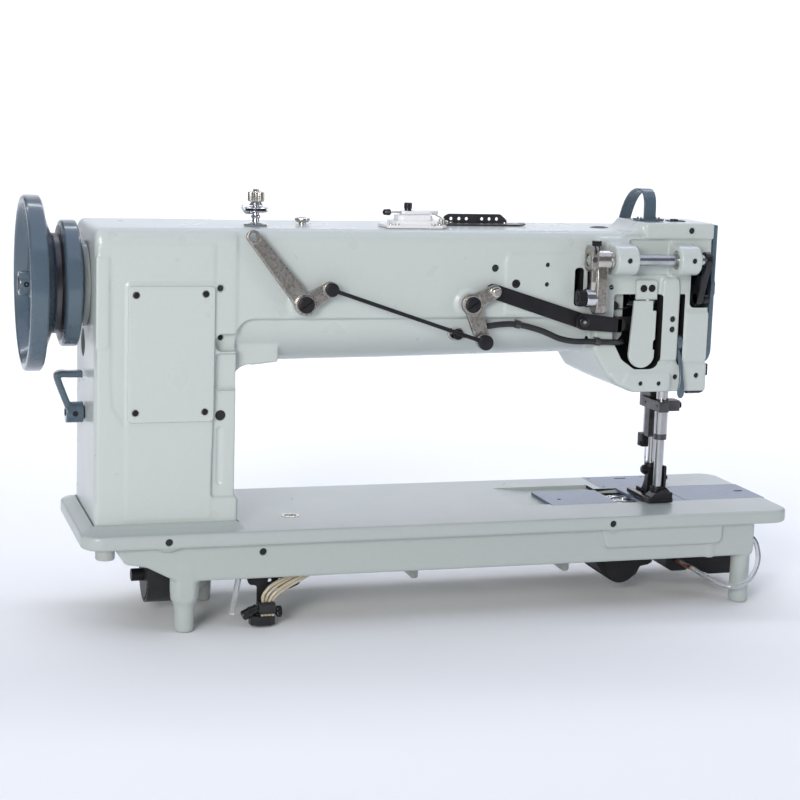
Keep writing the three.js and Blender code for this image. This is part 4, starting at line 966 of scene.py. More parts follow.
path = smooth_path([(0, -42.5, 296), (0, -42.3, 306), (0, -41.3, 314.5), (0, -38, 320.3), (0, -32.5, 323.6), (0, -25, 324.2), (0, -16, 323.3), (0, -7, 320.3), (0, 1.5, 315), (0, 9, 307.5), (0, 15, 299), (0, 19.5, 290.5), (0, 22, 284.6)], 6)
sec = fillet([(-6.5, -1.3), (6.5, -1.3), (6.5, 1.3), (-6.5, 1.3)], 0.8, 3)
strap_me = sweep([(561.5, p[1], p[2]) for p in path], sec)
foot = prism("z", rrect(545, 575, -50, -36, 3, 6), 293.9, 296.4, 0.6)
foot2 = prism("z", rrect(553, 570, 16, 30, 3, 5), 284.35, 286.4, 0.5)
piece("thread_guard", join(strap_me, foot, foot2), "frame", SLATE, "take_up_guard")
extra("thread_guard_screws", join(screw("z", 296.3, 1, (550.5, -43), 2.8, 1.6, ang=25), screw("z", 296.3, 1, (570, -43), 2.8, 1.6, ang=70)), NICKEL_FINE)
extra("head_top_screw", join(screw("z", 293.5, 1, (590, -40), 4.2, 2.2, ang=10, sink=0.6), box(583, 600, -46, -34, 293.3, 294.4, 0.4)), BLACK)
extra("arm_top_plug", moved(lathe("z", [(283.2, 0), (283.2, 10), (284.4, 10), (284.8, 9.0), (284.8, 7.5), (284.3, 6.8), (284.3, 0)], (0, 0), 48), Matrix.Translation((521, -10, 0)) @ Matrix.Scale(0.8, 4, (0, 1, 0))), BLACK_GLOSS)
oc = (210.9, 0)
extra("oil_cap", cut(lathe("z", [(283.5, 0), (283.5, 3.6), (285.6, 3.6), (286.2, 6.0), (288.6, 7.6), (289.7, 7.4), (290.4, 6.2), (290.9, 3.5), (291.0, 0)], oc, 48), lathe("z", [(289.9, 2.2), (291.5, 3.0)], oc, 24)), NICKEL_FINE)

# bobbin winder
base = join(
    prism("z", fillet([(284, -48), (340, -48), (346, -42), (346, -14), (340, -8), (290, -8), (284, -14)], 2, 4), 284.35, 287.4, 0.7),
    prism("z", fillet([(296, -43), (336, -43), (341, -36), (341, -18), (334, -11), (298, -11), (292, -18), (292, -34)], 2.5, 4), 287, 291.2, 0.8),
    prism("z", fillet([(301, -38), (330, -38), (334, -34), (334, -20), (328, -14), (302, -14), (298, -20), (298, -34)], 3, 4), 290.6, 296.4, 1.2),
)
base = cut(base, lathe("z", [(280, 3.35), (300, 3.35)], (311, -25), 32))
piece("winder_body", base, "frame", WHITE, "winder_base")
arm_b = prism("z", fillet([(303, -31), (333, -27), (345, -20), (343, -14), (328, -18), (304, -19)], 3, 5), 296.4, 300.2, 1.0)
arm_b = cut(arm_b, lathe("z", [(290, 3.35), (305, 3.35)], (311, -25), 32))
extra("winder_arm", arm_b, WHITE)
extra("winder_trip", sweep([(303, -26, 298.6), (296, -29, 299.1), (288.5, -32, 299.0)], fillet([(-2.6, -1.0), (2.6, -1.0), (2.6, 1.0), (-2.6, 1.0)], 0.8, 3)), NICKEL_FINE)
extra("winder_trip_tip", moved(lathe("x", [(-4, 0), (-4, 2.0), (-3.2, 2.9), (2.4, 3.3), (3.4, 2.6), (3.4, 0)], (0, 0), 24), Matrix.Translation((287.5, -32.3, 299.0)) @ Matrix.Rotation(math.radians(23), 4, "Z")), BLACK_GLOSS)
extra("winder_latch", join(
    sweep([(333, -22, 297.5), (339, -24, 296.8), (345, -26, 293.5), (349, -27, 289.6)], fillet([(-2.2, -0.7), (2.2, -0.7), (2.2, 0.7), (-2.2, 0.7)], 0.5, 3)),
    lathe("z", [(287, 0), (287, 3.2), (292.6, 3.2), (293.4, 2.2), (293.4, 0)], (343.5, -33), 24),
    lathe("z", [(287.2, 0), (287.2, 2.6), (290.4, 2.6), (291, 1.8), (291, 0)], (349.5, -28), 24)), NICKEL_FINE)
extra("winder_screws", join(*[screw("z", 287.3, 1, c, 2.3, 1.5, ang=a) for c, a in (((289, -43), 30), ((295, -44), 80), ((331, -46), 10), ((338, -44), 55))]), NICKEL_FINE)
# A thin black strip on the winder's side stands in for a slot as painted shade.
extra("winder_slot_shade_strip", box(309, 318, -14.6, -13.6, 292, 294, 0.3), BLACK)

# thread post
tp = (158, -28)
post = lathe("z", [(262, 0), (262, 3), (284.35, 3), (284.35, 11.2), (285.2, 11.6), (286.2, 11.2), (287.4, 8.6), (288.0, 6.0), (288.6, 3.6), (291, 3.2), (292.6, 4.6), (294, 4.6), (295, 3.2), (297, 3),
                   (297, 9.0), (297.8, 11.4), (298.7, 12.5), (299.5, 11.2), (299.9, 8), (300.2, 8), (300.7, 11.2), (301.5, 12.5), (302.3, 11.4), (303, 9.0), (303.1, 3), (319, 3), (319.6, 2.4), (319.6, 0)], tp, 64)
post = cut(post, box(150, 166, -28.5, -27.5, 317.6, 322))
piece("thread_post_discs", post, "frame", CHROME, "thread_post")
pts = []
for i in range(110):
    a = i * 2 * math.pi * 3.4 / 109
    rr = 6.6 - 2.2 * i / 109
    pts.append((tp[0] + rr * math.cos(a), tp[1] + rr * math.sin(a), 303.9 + 3.3 * i / 109))
extra("thread_post_spring", sweep(pts, circle(0.42, 8)), STEEL_X)
pts = [(tp[0] - 3, tp[1] - 2, 296.2), (tp[0] - 8, tp[1] - 5, 296.4), (tp[0] - 12.5, tp[1] - 8, 297.6), (tp[0] - 14.6, tp[1] - 9.4, 300.6), (tp[0] - 16.2, tp[1] - 10.2, 303.2), (tp[0] - 15.2, tp[1] - 9.6, 304.6)]
extra("thread_post_hook", tube(pts, 0.75, 6, 10), CHROME)
extra("thread_post_felt", lathe("z", ring(299.2, 301.0, 3.0, 10.2, 0.2), tp, 40), BLACK)

# operator-side tension
tt = (560, 206)
tens = lathe("y", [(48, 0), (48, 4), (60.4, 4), (60.4, 9.4), (61.0, 10), (62.6, 10), (63.0, 9.4), (63, 4), (64.2, 4), (63.6, 9), (64, 14), (64.8, 15.2), (65.6, 15.4), (66.2, 14.6), (65.6, 9), (65.8, 4.4),
                   (66.6, 4.4), (66.8, 9), (66.4, 14.6), (67.0, 15.4), (67.8, 15.2), (68.6, 14), (69.0, 9), (69, 4), (91.4, 4), (92, 3.4), (92, 0)], tt, 64)
piece("tension_discs", tens, "frame", CHROME, "thread_tension")
pts = [(tt[0] + (8.2 - 2.6 * i / 119) * math.cos(i * 0.24), 69.6 + 5.6 * i / 119, tt[1] + (8.2 - 2.6 * i / 119) * math.sin(i * 0.24)) for i in range(120)]
extra("tension_spring", sweep(pts, circle(0.5, 8), up=(0, 1, 0)), STEEL_X)

# pivot studs of the two levers
def stud(c, name, node, knurl):
    head = [(-76.4, 7.8), (-79.5, 7.8), (-80.3, 7.2), (-80.8, 6.0), (-80.8, 0)]
    me = lathe("y", [(-52, 0), (-52, 4), (-66.35, 4), (-66.35, 5.95), (-76.4, 5.95)] + head, c, 48)
    me = cut(me, prism("y", rect(c, 20, 1.3, 35), -82, -79.6))
    piece(name, me, "frame", BLACK, node)
    if knurl:
        extra(name + "_ring", knurled("y", ring(-78.6, -76.3, 7.7, 9.0, 0.3), c, 26, 0.5), NICKEL_FINE)


stud(LIFT_A, "lift_pivot", "lift_crank_stud", False)
stud(BELL_C, "bell_pivot", "bell_crank_stud", True)

hose = [(374, -56, 188), (375.5, -61, 188.4), (381, -64.6, 190), (398, -65, 192.4), (415, -65, 192.2), (441.6, -65, 185.5), (460, -66, 178), (474, -68.5, 175.4), (490, -70, 175.2), (512, -70.4, 174.4), (523, -67.5, 173.6), (531, -57.5, 172.5)]
piece("rear_hose_black", tube(hose, 3, 12, 20), "frame", RUBBER, "rear_hose")
clips = []
for p, q in (((415.5, -65, 192.1), (420, -65, 191)), ((499, -70.2, 174.9), (503.5, -70.3, 174.8))):
    d = (Vector(q) - Vector(p)).normalized()
    me = lathe("x", ring(-2.6, 2.6, 2.8, 3.9, 0.3), (0, 0), 32)
    me = join(me, box(-2.4, 2.4, -1, 6.4, 3.0, 4.2, 0.3))
    clips.append(moved(me, Matrix.Translation(p) @ d.to_track_quat("X", "Z").to_matrix().to_4x4()))
extra("hose_clips", join(*clips), DARKSTEEL)
extra("hose_gland", lathe("y", ring(-67.0, -58, 3.5, 4.3, 0.2), (374, 188.2), 32), RUBBER)


def toothed(axis, a0, a1, c, r, ri, teeth, depth, duty=0.5):
    pts = []
    for i in range(teeth):
        t0 = 2 * math.pi * i / teeth
        w = 2 * math.pi / teeth
        for f, rr in ((0.0, r - depth), (0.5 - duty / 2, r - depth), (0.5 - duty / 2 + 0.08, r), (0.5 + duty / 2 - 0.08, r), (0.5 + duty / 2, r - depth)):
            t = t0 + w * f
            pts.append((c[0] + rr * math.cos(t), c[1] + rr * math.sin(t)))
    return cut(prism(axis, pts, a0, a1, 0.3), lathe(axis, [(a0 - 5, ri), (a1 + 5, ri)], c, 40))


n_t = 30
belt_in = []
for cz, a0 in ((SHAFT_Z, 0), (LOWER_Z, 180)):
    for i in range(n_t // 2):
        for f, rr in ((0.0, 24.9), (0.42, 24.9), (0.5, 25.5), (0.92, 25.5)):
            t = math.radians(a0 + 180 * (i + f) / (n_t // 2))
            belt_in.append((rr * math.cos(t), cz + rr * math.sin(t)))
    side = -1 if a0 == 0 else 1
    z0, z1 = (SHAFT_Z, LOWER_Z) if a0 == 0 else (LOWER_Z, SHAFT_Z)
    k = 56
    for i in range(1, k):
        for f, rr in ((0.0, 24.9), (0.42, 24.9), (0.5, 25.5), (0.92, 25.5)):
            if i + f < k:
                belt_in.append((side * rr, z0 + (z1 - z0) * (i + f) / k))
outer = arc(0, SHAFT_Z, 27.4, 0, 180, 40) + arc(0, LOWER_Z, 27.4, 180, 360, 40)
piece("belt_toothed", cut(prism("x", outer, 58, 84, 0.2), prism("x", belt_in, 50, 90)), "frame", RUBBER, "timing_belt")

gc = prism("y", fillet([(528, -62), (529, -32), (593, -32), (593, -67), (588, -69.5), (579, -71), (575, -79.5), (566, -84.6), (546, -84.6), (537, -78)], [5, 1, 1, 3, 4, 3, 4, 6, 7, 7], 5), -29, 29, 2.2, 3)
gc = cut(gc, box(536, 587, -25.5, 25.5, -79, -20), lathe("x", [(520, 6.55), (540, 6.55)], (0, LOWER_Z), 40))
gc = add(gc, lathe("y", [(-31, 0), (-31, 17.5), (-29.6, 19), (-20, 19), (-20, 0)], (556, -68), 48), lathe("y", [(-31.5, 5), (-31, 7), (-27, 7.5), (-26, 7.5)], (583, -44), 32), lathe("y", [(-31.5, 5), (-31, 7), (-27, 7.5), (-26, 7.5)], (538, -44), 32))
piece("gear_case_hook", gc, "frame", BLACK, "hook_gear_case")
fc = prism("y", fillet([(640, -9.4), (666, -9.4), (666, -49), (700, -49), (703, -55), (703, -81), (699, -84.6), (662, -84.6), (655, -82), (644, -75), (640, -75), (634, -79.4), (618, -79.4), (612, -75), (612, -62), (640, -50)],
                       [1, 1, 2, 3, 3, 4, 4, 4, 4, 3, 3, 5, 6, 5, 4, 3], 5), -24, 24, 2.2, 3)
fc = cut(fc, box(646, 660, -18, 18, -74, -5))
piece("gear_case_feed", fc, "frame", BLACK, "feed_gear_case")

ob = prism("y", fillet([(147, -50), (152, -44), (150, -9.4), (205, -9.4), (205, -50), (200, -62), (190, -66), (172, -64), (169, -84), (158, -84), (158, -61), (150, -60)], [3, 1, 0, 0, 4, 5, 5, 6, 1, 1, 3, 4], 5), -64.5, -62, 0.4)
ob = cut(ob, lathe("y", [(-70, 2.0), (-55, 2.0)], (180.5, -56.5), 24), lathe("y", [(-70, 2.0), (-55, 2.0)], (170.5, -56.5), 24))
ob = join(ob, box(150, 205, -64.5, -52, -11.4, -9.4, 0.4))
piece("oil_hanger", ob, "frame", BLACK, "oil_bracket")
od = join(
    prism("z", fillet([(150, -76), (156, -80), (168, -80), (174, -76), (174, -66), (170, -65.2), (152, -65.2), (149, -69)], 1.8, 4), -97.5, -88, 0.9),
    lathe("z", [(-97.9, 0), (-97.9, 5.6), (-97.0, 6.6), (-93, 7.0), (-88.5, 7.0), (-88.5, 0)], (162.0, -72.8), 40),
    box(158.5, 174, -76, -65.2, -90, -75.5, 0.7),
    knurled("x", [(173, 0), (173, 3.6), (176, 3.6), (176.2, 5.2), (176.8, 5.6), (180.4, 5.6), (181, 5.0), (181, 0)], (-71, -86), 9, 0.9, 6),
)
q = (Vector((142, -71.5, -89)) - Vector((157, -71.5, -82))).normalized().to_track_quat("X", "Z").to_matrix().to_4x4()
od = join(od, moved(lathe("x", [(0, 0), (0, 5.0), (6, 5.0), (6.4, 5.5), (8, 5.5), (8.4, 5.0), (14.8, 5.0), (15.6, 4.8), (16.4, 3.6), (16.4, 0)], (0, 0), 36), Matrix.Translation((157, -71.5, -82)) @ q))
piece("oil_manifold", od, "frame", BLACK_GLOSS, "oil_distributor")
extra("oil_manifold_lens", moved(lathe("x", [(15.4, 0), (15.4, 3.0), (16.7, 2.6), (16.9, 0)], (0, 0), 28), Matrix.Translation((157, -71.5, -82)) @ q), CLEAR)

tubes, sleeves = [], []
for i, (u0, off) in enumerate(((161.0, 0), (164.2, 1), (168.2, 2), (171.6, 3))):
    f = i / 3.0
    a = [(161.2, -75.1), (162.6, -70), (168.6, -61.6), (176.4, -56.4), (185.3, -52), (215, -38), (236, -22)]
    b = [(173.6, -75.1), (178, -68.5), (188.4, -61.5), (200, -55.5), (210, -50.0), (222, -45), (246, -29)]
    a[0], b[0] = (162.6, -75.3), (172.2, -75.3)
    pts = []
    for k in range(7):
        u = a[k][0] * (1 - f) + b[k][0] * f + (0.9 if i in (1, 2) else 0) * 0
        w = a[k][1] * (1 - f) + b[k][1] * f
        pts.append((u, -70.6 + (0.9 if i % 2 else -0.7), w))
    tubes.append(tube([(pts[0][0], pts[0][1], -79.5)] + pts, 1.75, 8, 14))
piece("oil_tubes", join(*tubes), "frame", CREAM, "oil_tube_bundle")
extra("oil_tube_collars", join(*[lathe("z", ring(-88.4, -86.6, 0.2, 1.75, 0.2), (161.2 + 3.4 * i, -76.6), 20) for i in range(4)]), CREAM)
extra("oil_tube_sleeve", box(157.8, 174.6, -76.6, -64.9, -85.8, -77.2, 0.9), RUBBER)
piece("drain_tube_clear", tube([(150, -50, -14), (147, -54, -34), (141.5, -58, -52), (139, -58, -66), (135, -58, -90)], 2.9, 12, 20), "frame", CLEAR, "drain_tube")
ret = [(622, -26, -66), (631, -45, -71), (640, -68, -76.5), (651, -88, -80), (662, -92.5, -79), (671, -92.5, -74.5), (679, -91, -66), (685, -87, -55), (688.5, -78, -44), (688.5, -68, -36), (684.5, -60, -33)]
piece("return_tube_clear", tube(ret, 2.6, 10, 20), "frame", CLEAR, "return_tube")
COPPER = metal("copper_tip", (0.55, 0.24, 0.14), (0.40, 0.16, 0.09), (0.25, 0.4), peel=0.1)
extra("return_tube_tip", tube([ret[0], (626, -34, -68.4), (630.4, -43.6, -70.8)], 2.75, 8, 18), COPPER)
extra("corner_pad", lathe("z", [(-24, 0), (-24, 8.2), (-23, 9), (-14, 9.2), (-13.2, 9.2), (-13.2, 0)], (8.5, -80), 40), GREY)
extra("bed_plug", lathe("z", [(-2.4, 9.1), (-0.3, 9.1), (0.35, 8.6), (0.35, 6.4), (-0.5, 5.8), (-1.6, 4.2), (-1.6, 0), (-2.4, 0)], (197, -34), 56), NICKEL_FINE)
bc = cut(lathe("z", [(-18.4, 0), (-18.4, 15.2), (-18, 15.6), (-9, 15.6), (-8, 16.4), (-5, 16.4), (-4.6, 16.0), (-4.6, 12.4), (-5.6, 11.8), (-5.6, 5.6), (-4.6, 5), (-4.2, 3.2), (-6.2, 2.6), (-7, 0)], (HOOK_X, 0), 64),
         *[lathe("z", [(-7, 1.6), (-3, 1.6)], (HOOK_X + 8.6 * math.cos(t), 8.6 * math.sin(t)), 16) for t in (0.6, 2.2, 3.7, 5.2)])
bc = join(bc, sweep([(HOOK_X - 12, -9, -3.9), (HOOK_X - 2, -13.6, -3.6), (HOOK_X + 9, -12, -3.7), (HOOK_X + 14, -5, -3.9)], fillet([(-1.8, -0.5), (1.8, -0.5), (1.8, 0.5), (-1.8, 0.5)], 0.3, 2)))
piece("bobbin_case_chrome", bc, "frame", STEEL_X, "bobbin_case")

# ================================================================ upper drive
hw = lathe("x", [(-62.6, 7.85), (-62.6, 10.2), (-62.2, 11.0), (-61.2, 11.4), (-53, 12.2), (-51.2, 14), (-50.4, 18), (-47.2, 40), (-46.6, 46), (-46.6, 66), (-47.4, 69.6), (-50, 71.6), (-58.2, 75.4), (-59.3, 77), (-59.5, 79.6), (-59.0, 81.6), (-57.4, 82.8),
                 (-55.6, 83), (-46.4, 83), (-44.4, 82.7), (-43.0, 81), (-42.4, 77.6), (-41.9, 72), (-37.0, 58), (-34.2, 50), (-33.2, 48.4), (-31.5, 47.3), (-27.5, 47.3), (-26.6, 47.9), (-24.8, 56.6), (-24.1, 58.8), (-22.8, 59.9), (-21.6, 60),
                 (-11.2, 60), (-10.0, 59.4), (-9.5, 58.2), (-9.5, 7.85), (-62.6, 7.85)], (0, SHAFT_Z), 192)
o = piece("handwheel_cast", hw, "main_shaft_unit", SLATE, "handwheel", sharp=24)
extra("handwheel_groove", lathe("x", [(-34.6, 47.0), (-36.2, 54.6), (-35.9, 54.8), (-34.0, 49.0), (-33.0, 47.6), (-32.4, 47.5), (-27.2, 47.5), (-26.6, 48.2), (-25.3, 54.6), (-25.0, 54.5), (-26.2, 47.0), (-34.6, 47.0)], (0, SHAFT_Z), 160), DARKSTEEL, "main_shaft_unit", 24)
extra("handwheel_cap", cut(lathe("x", [(-63.4, 0), (-63.4, 5.6), (-62.9, 6.6), (-60, 7.0), (-58, 7.0), (-58, 0)], (0, SHAFT_Z), 48), prism("x", rect((0, SHAFT_Z), 16, 1.6, 60), -64, -62.6)), DARKSTEEL, "main_shaft_unit")
extra("handwheel_set_screw", cut(lathe("y", rod(-12.6, -8, 2.6, 0.3), (-56.5, SHAFT_Z), 24), prism("y", shifted(hexagon(1.3), (-56.5, SHAFT_Z)), -14, -10.5)), BLACK, "main_shaft_unit")
piece("main_shaft_steel", lathe("x", rod(-57.5, 569, 7.5, 0.6), (0, SHAFT_Z), 48), "main_shaft_unit", STEEL_X, "main_shaft")
us = join(toothed("x", 57.5, 84.5, (0, SHAFT_Z), 24.5, 7.85, 30, 1.1), lathe("x", ring(84.5, 86.5, 7.85, 29.5, 0.4), (0, SHAFT_Z), 64), lathe("x", ring(52, 57.6, 7.85, 15, 0.5), (0, SHAFT_Z), 48))
piece("upper_pulley", us, "main_shaft_unit", DARKSTEEL, "upper_sprocket")
nc = cut(lathe("x", ring(552, 566, 7.85, 27, 1.0), (0, SHAFT_Z), 64), lathe("x", [(549, 6), (553.4, 6)], (0, SHAFT_Z - 17), 24))
nc = join(nc, lathe("x", rod(565, 577, 4.5, 0.5), (0, SHAFT_Z + 17), 32))
piece("needle_crank_disc", nc, "main_shaft_unit", STEEL_X, "needle_crank")
# ================================================================ lower drive
piece("lower_shaft_steel", lathe("x", rod(45.5, 548, 6.2, 0.6), (0, LOWER_Z), 40), "lower_shaft_unit", BLACK, "lower_shaft")
ls = join(toothed("x", 57.5, 84.5, (0, LOWER_Z), 24.5, 6.55, 30, 1.1), lathe("x", ring(84.5, 86.5, 6.55, 28.6, 0.4), (0, LOWER_Z), 64))
piece("lower_pulley", ls, "lower_shaft_unit", BLACK, "lower_sprocket")
hg = []
for i in range(22):
    for f, k in ((0.0, 0.86), (0.2, 0.86), (0.34, 1.0), (0.62, 1.0), (0.76, 0.86)):
        hg.append((i + f, k))
gear = lathe("x", [(543, 6.55), (543, 16.4), (543.6, 17), (549.5, 22.8), (555.8, 19.2), (551.5, 12), (551.5, 6.55), (543, 6.55)], (0, LOWER_Z), 176,
             flute=lambda t, a, r: 1 - (0.075 if r > 16 and (t * 22 / (2 * math.pi)) % 1 < 0.45 else 0))
piece("hook_gear", gear, "lower_shaft_unit", STEEL_X, "hook_drive_gear")
rh = lathe("z", [(-42, 0), (-41.2, 9.4), (-34.5, 12.4), (-33.5, 5), (-22, 5), (-22, 17), (-20.6, 20.2), (-19, 21.0), (-17.4, 21.5), (-12, 21.5), (-11.4, 20.8), (-9.6, 20.8), (-9, 21.5), (-4.6, 21.5), (-4.0, 20.9), (-4, 17.3), (-4.4, 16.9), (-19, 16.9), (-19, 0)], (HOOK_X, 0), 96)
rh = cut(rh, prism("z", [(HOOK_X + 14, 6), (HOOK_X + 26, 2), (HOOK_X + 26, 15), (HOOK_X + 12, 17)], -9.4, -2), prism("z", [(HOOK_X - 26, -12), (HOOK_X - 13, -16), (HOOK_X - 10, -24), (HOOK_X - 26, -22)], -8, -2))
rh = join(rh, screw("z", -4.1, 1, (HOOK_X - 19, 3), 1.5, 0.5, ang=20, sink=0.6), screw("z", -4.1, 1, (HOOK_X - 16, 10.4), 1.5, 0.5, ang=60, sink=0.6))
piece("hook_chrome", rh, "hook", CHROME, "rotary_hook")

# ================================================================ needle unit
nf = join(
    box(598.5, 603.5, -20, 6, 92, 256, 0.6),
    cut(prism("x", fillet([(6.5, 96), (6.5, 118), (-19.3, 118), (-19.3, 66), (-8.4, 66), (-8.4, 96)], [0.8, 0.8, 0.8, 1.5, 1.5, 2], 4), 584, 599.5, 0.6),
        lathe("z", [(90, 4.35), (125, 4.35)], (NX, 0), 40), lathe("z", [(60, 3.95), (125, 3.95)], (NX, WALK_Y), 40)),
    cut(box(584, 599.5, -6.5, 6.2, 190, 204, 0.6), lathe("z", [(180, 4.35), (210, 4.35)], (NX, 0), 40)),
    cut(box(584, 599.5, -19.3, -8.4, 140, 150, 0.6), lathe("z", [(130, 3.95), (160, 3.95)], (NX, WALK_Y), 40)),
    lathe("x", rod(600, 621, 5, 0.5), (0, 250), 40), lathe("x", rod(597.6, 605, 9, 0.6), (0, 250), 48))
piece("needle_frame_bar", nf, "needle_frame", DARKSTEEL, "needle_bar_frame")
nb = cut(lathe("z", [(66.5, 0), (66.5, 3.9), (67, 4), (237.2, 4), (238, 3.2), (238, 0)], (NX, 0), 48))
piece("needle_bar_steel", nb, "needle_unit", STEEL, "needle_bar")
cl = cut(prism("z", fillet([(583.4, -6.2), (597.4, -6.2), (597.4, 6.2), (583.4, 6.2)], 1.6, 4), 53, 66.8, 0.6), lathe("z", [(50, 1.55), (60.35, 1.5), (60.35, 0)], (NX, 0), 20), box(582, 590, -0.4, 0.4, 52, 60))
cl = join(cl, cut(lathe("x", rod(582.0, 585, 1.9, 0.4), (-3.4, 56.6), 28), prism("x", rect((-3.4, 56.6), 8, 0.7, 20), 581.4, 582.5)), lathe("y", [(-7.4, 0), (-7.4, 1.3), (-6.9, 1.7), (-5, 1.7), (-5, 0)], (592.5, 62), 24))
extra("needle_clamp", cl, BLACK, "needle_unit")
nd = lathe("z", [(20.5, 0), (21.4, 0.22), (23, 0.6), (24.6, 0.72), (38, 0.8), (40, 1.15), (60, 1.15), (60, 0)], (NX, 0), 20)
piece("needle_steel", cut(nd, box(590.2, 591.8, 0.45, 1.6, 24.6, 37)), "needle_unit", CHROME, "needle")
piece("walking_bar_steel", lathe("z", rod(37.5, 152, 3.6, 0.4), (NX, WALK_Y), 40), "walking_unit", STEEL, "walking_bar")
wf = cut(prism("x", fillet([(-18.4, 1.2), (-18.4, 20), (-19.6, 26), (-19.8, 33), (-17.6, 37.2), (-10.4, 37.2), (-8.2, 33.6), (-8.4, 27), (-10.2, 23.6), (-9.4, 18), (-5.2, 10.6), (-2.5, 8.2), (8.5, 8.2), (10.2, 6.4), (10.2, 2.8), (8.8, 1.2)],
                           [1, 2, 3, 3, 3, 3, 3, 3, 2, 3, 2, 2, 1, 1.5, 1.5, 1], 4), 586.5, 595.5, 0.7),
         lathe("z", [(0, 2.3), (12, 2.3)], (NX, 0), 24))
wf = join(wf, lathe("x", [(581.8, 0), (581.8, 4.0), (582.6, 4.8), (587.2, 5.2), (587.2, 0)], (-14, 30.5), 36), screw("x", 581.9, -1, (-14, 30.5), 3.2, 1.2, ang=40), lathe("z", [(33, 4.2), (33, 6.2), (34, 6.8), (38.4, 6.4), (38.4, 3.7), (33, 4.2)], (NX, WALK_Y), 36))
piece("walking_foot_black", wf, "walking_unit", BLACK_GLOSS, "walking_foot")
# ================================================================ presser unit
piece("presser_bar_steel", lathe("z", rod(12, 200, 4.8, 0.5), (NX, PRESS_Y), 48), "presser_unit", STEEL, "presser_bar")
sole = prism("z", fillet([(577, -44), (605, -44), (605, 12), (602.5, 15), (599, 15), (597.2, 12), (597.2, -25.5), (584.8, -25.5), (584.8, 12), (583, 15), (579.5, 15), (577, 12)],
                         [1, 1, 2, 1.5, 1.5, 1, 1.5, 1.5, 1, 1.5, 1.5, 2], 4), 0.6, 5.5, b0=0.8, b1=0.9)
shank = prism("z", fillet([(584.6, -40.2), (597.4, -40.2), (597.4, -26.6), (584.6, -26.6)], 3.5, 5), 8, 17, 0.9)
ramp_ = prism("y", fillet([(579, 4.2), (580.5, 6.8), (588.5, 13.2), (592.5, 15.4), (597, 14.6), (599.4, 12.4), (600.2, 4.2)], [1, 1.5, 2, 2, 1.5, 1, 0.5], 4), -43.6, -27.0, 0.9)
rise = join(prism("x", fillet([(PRESS_Y - 4.5, 8), (PRESS_Y - 4.5, 37), (PRESS_Y - 3, 38.4), (PRESS_Y + 3, 38.4), (PRESS_Y + 4.5, 37), (PRESS_Y + 4.5, 8)], 0.6, 3), 596.2, 598.8, 0.5),
            prism("y", fillet([(597.5, 4.5), (604.4, 4.5), (604.8, 10.8), (603.2, 11.6), (601.6, 10.4), (600.6, 13.6), (597.5, 16.5)], [0.5, 0.8, 0.8, 0.6, 0.8, 1, 0.5], 3), -43.2, -28.5, 0.7))
pf = join(sole, shank, ramp_, rise, screw("x", 598.6, 1, (PRESS_Y, 25.5), 2.5, 2.8, ang=30))
pf = cut(pf, lathe("z", [(11.6, 5.0), (60, 5.0)], (NX, PRESS_Y), 48))
pf = cut(pf, prism("x", [(17, 0.2), (17, 3.4), (6, 0.2)], 570, 610))
piece("presser_foot_black", pf, "presser_unit", BLACK_GLOSS, "presser_foot")

# ================================================================ lifting linkage on the back of the arm
def cast_lever(solids, cuts, voxel=0.42, times=3):
    me = soften(join(*solids), voxel, times, 0.5)
    return cut(me, *cuts) if cuts else me


A, P, B = LIFT_A, LIFT_P, LIFT_B
lc = cast_lever([prism("y", strap(A, P, 9, 6.5, 20), -76, -71, 1.0), prism("y", strap(A, B, 9, 7, 20), -76, -71, 1.0), lathe("y", rod(-77.0, -70.4, 10.6, 1.0), A, 64), lathe("y", rod(-76.4, -71, 6.6, 0.6), P, 48), lathe("y", rod(-77.2, -71, 7.2, 0.8), B, 48)],
                [lathe("y", [(-80, 6.3), (-60, 6.3)], A, 48), lathe("y", [(-80, 4.2), (-75.6, 3.5), (-60, 3.4)], P, 36)])
piece("lift_lever_cast", lc, "lift_crank", NICKEL, "lift_crank")
extra("lift_lever_pin", lathe("y", [(-84.2, 0), (-84.2, 5.0), (-83.6, 6.3), (-82.6, 6.6), (-81.9, 6.4), (-81.9, 2.6), (-75, 2.6), (-75, 0)], B, 40), BLACK, "lift_crank")
d = (Vector((BELL_E[0], 0, BELL_E[1])) - Vector((B[0], 0, B[1]))).normalized()
lr = join(lathe("y", ring(-81.5, -77.2, 2.95, 5.8, 0.5), B, 40), lathe("y", ring(-81.5, -77.2, 4.6, 7.2, 0.5), BELL_E, 48),
          sweep([(B[0] + d.x * 4, -79.3, B[1] + d.z * 4), (B[0] + d.x * 9, -79.3, B[1] + d.z * 9), (B[0] + d.x * 14, -79.3, B[1] + d.z * 14), (BELL_E[0] - d.x * 16, -79.3, BELL_E[1] - d.z * 16), (BELL_E[0] - d.x * 10, -79.3, BELL_E[1] - d.z * 10), (BELL_E[0] - d.x * 5.6, -79.3, BELL_E[1] - d.z * 5.6)],
                circle(1.95, 20), scale=lambda t: 1.0 + 0.35 * (max(0, 0.12 - t) + max(0, t - 0.88)) / 0.12))
piece("lift_rod_black", lr, "lift_rod", BLACK, "lift_rod")
C, D, E = BELL_C, BELL_D, BELL_E
bk = cast_lever([prism("y", strap(C, D, 8.5, 6.8, 20), -76, -71, 1.0), prism("y", strap(C, E, 8.5, 7.4, 20), -76, -71, 1.0), lathe("y", rod(-76.8, -70.4, 10.4, 1.0), C, 64), lathe("y", rod(-76.6, -71, 7.6, 0.7), E, 48), lathe("y", rod(-71.6, -66.7, 3, 0.1), D, 32)],
                [lathe("y", [(-80, 6.3), (-60, 6.3)], C, 48)])
piece("bell_lever_cast", bk, "bell_crank", NICKEL, "bell_crank")
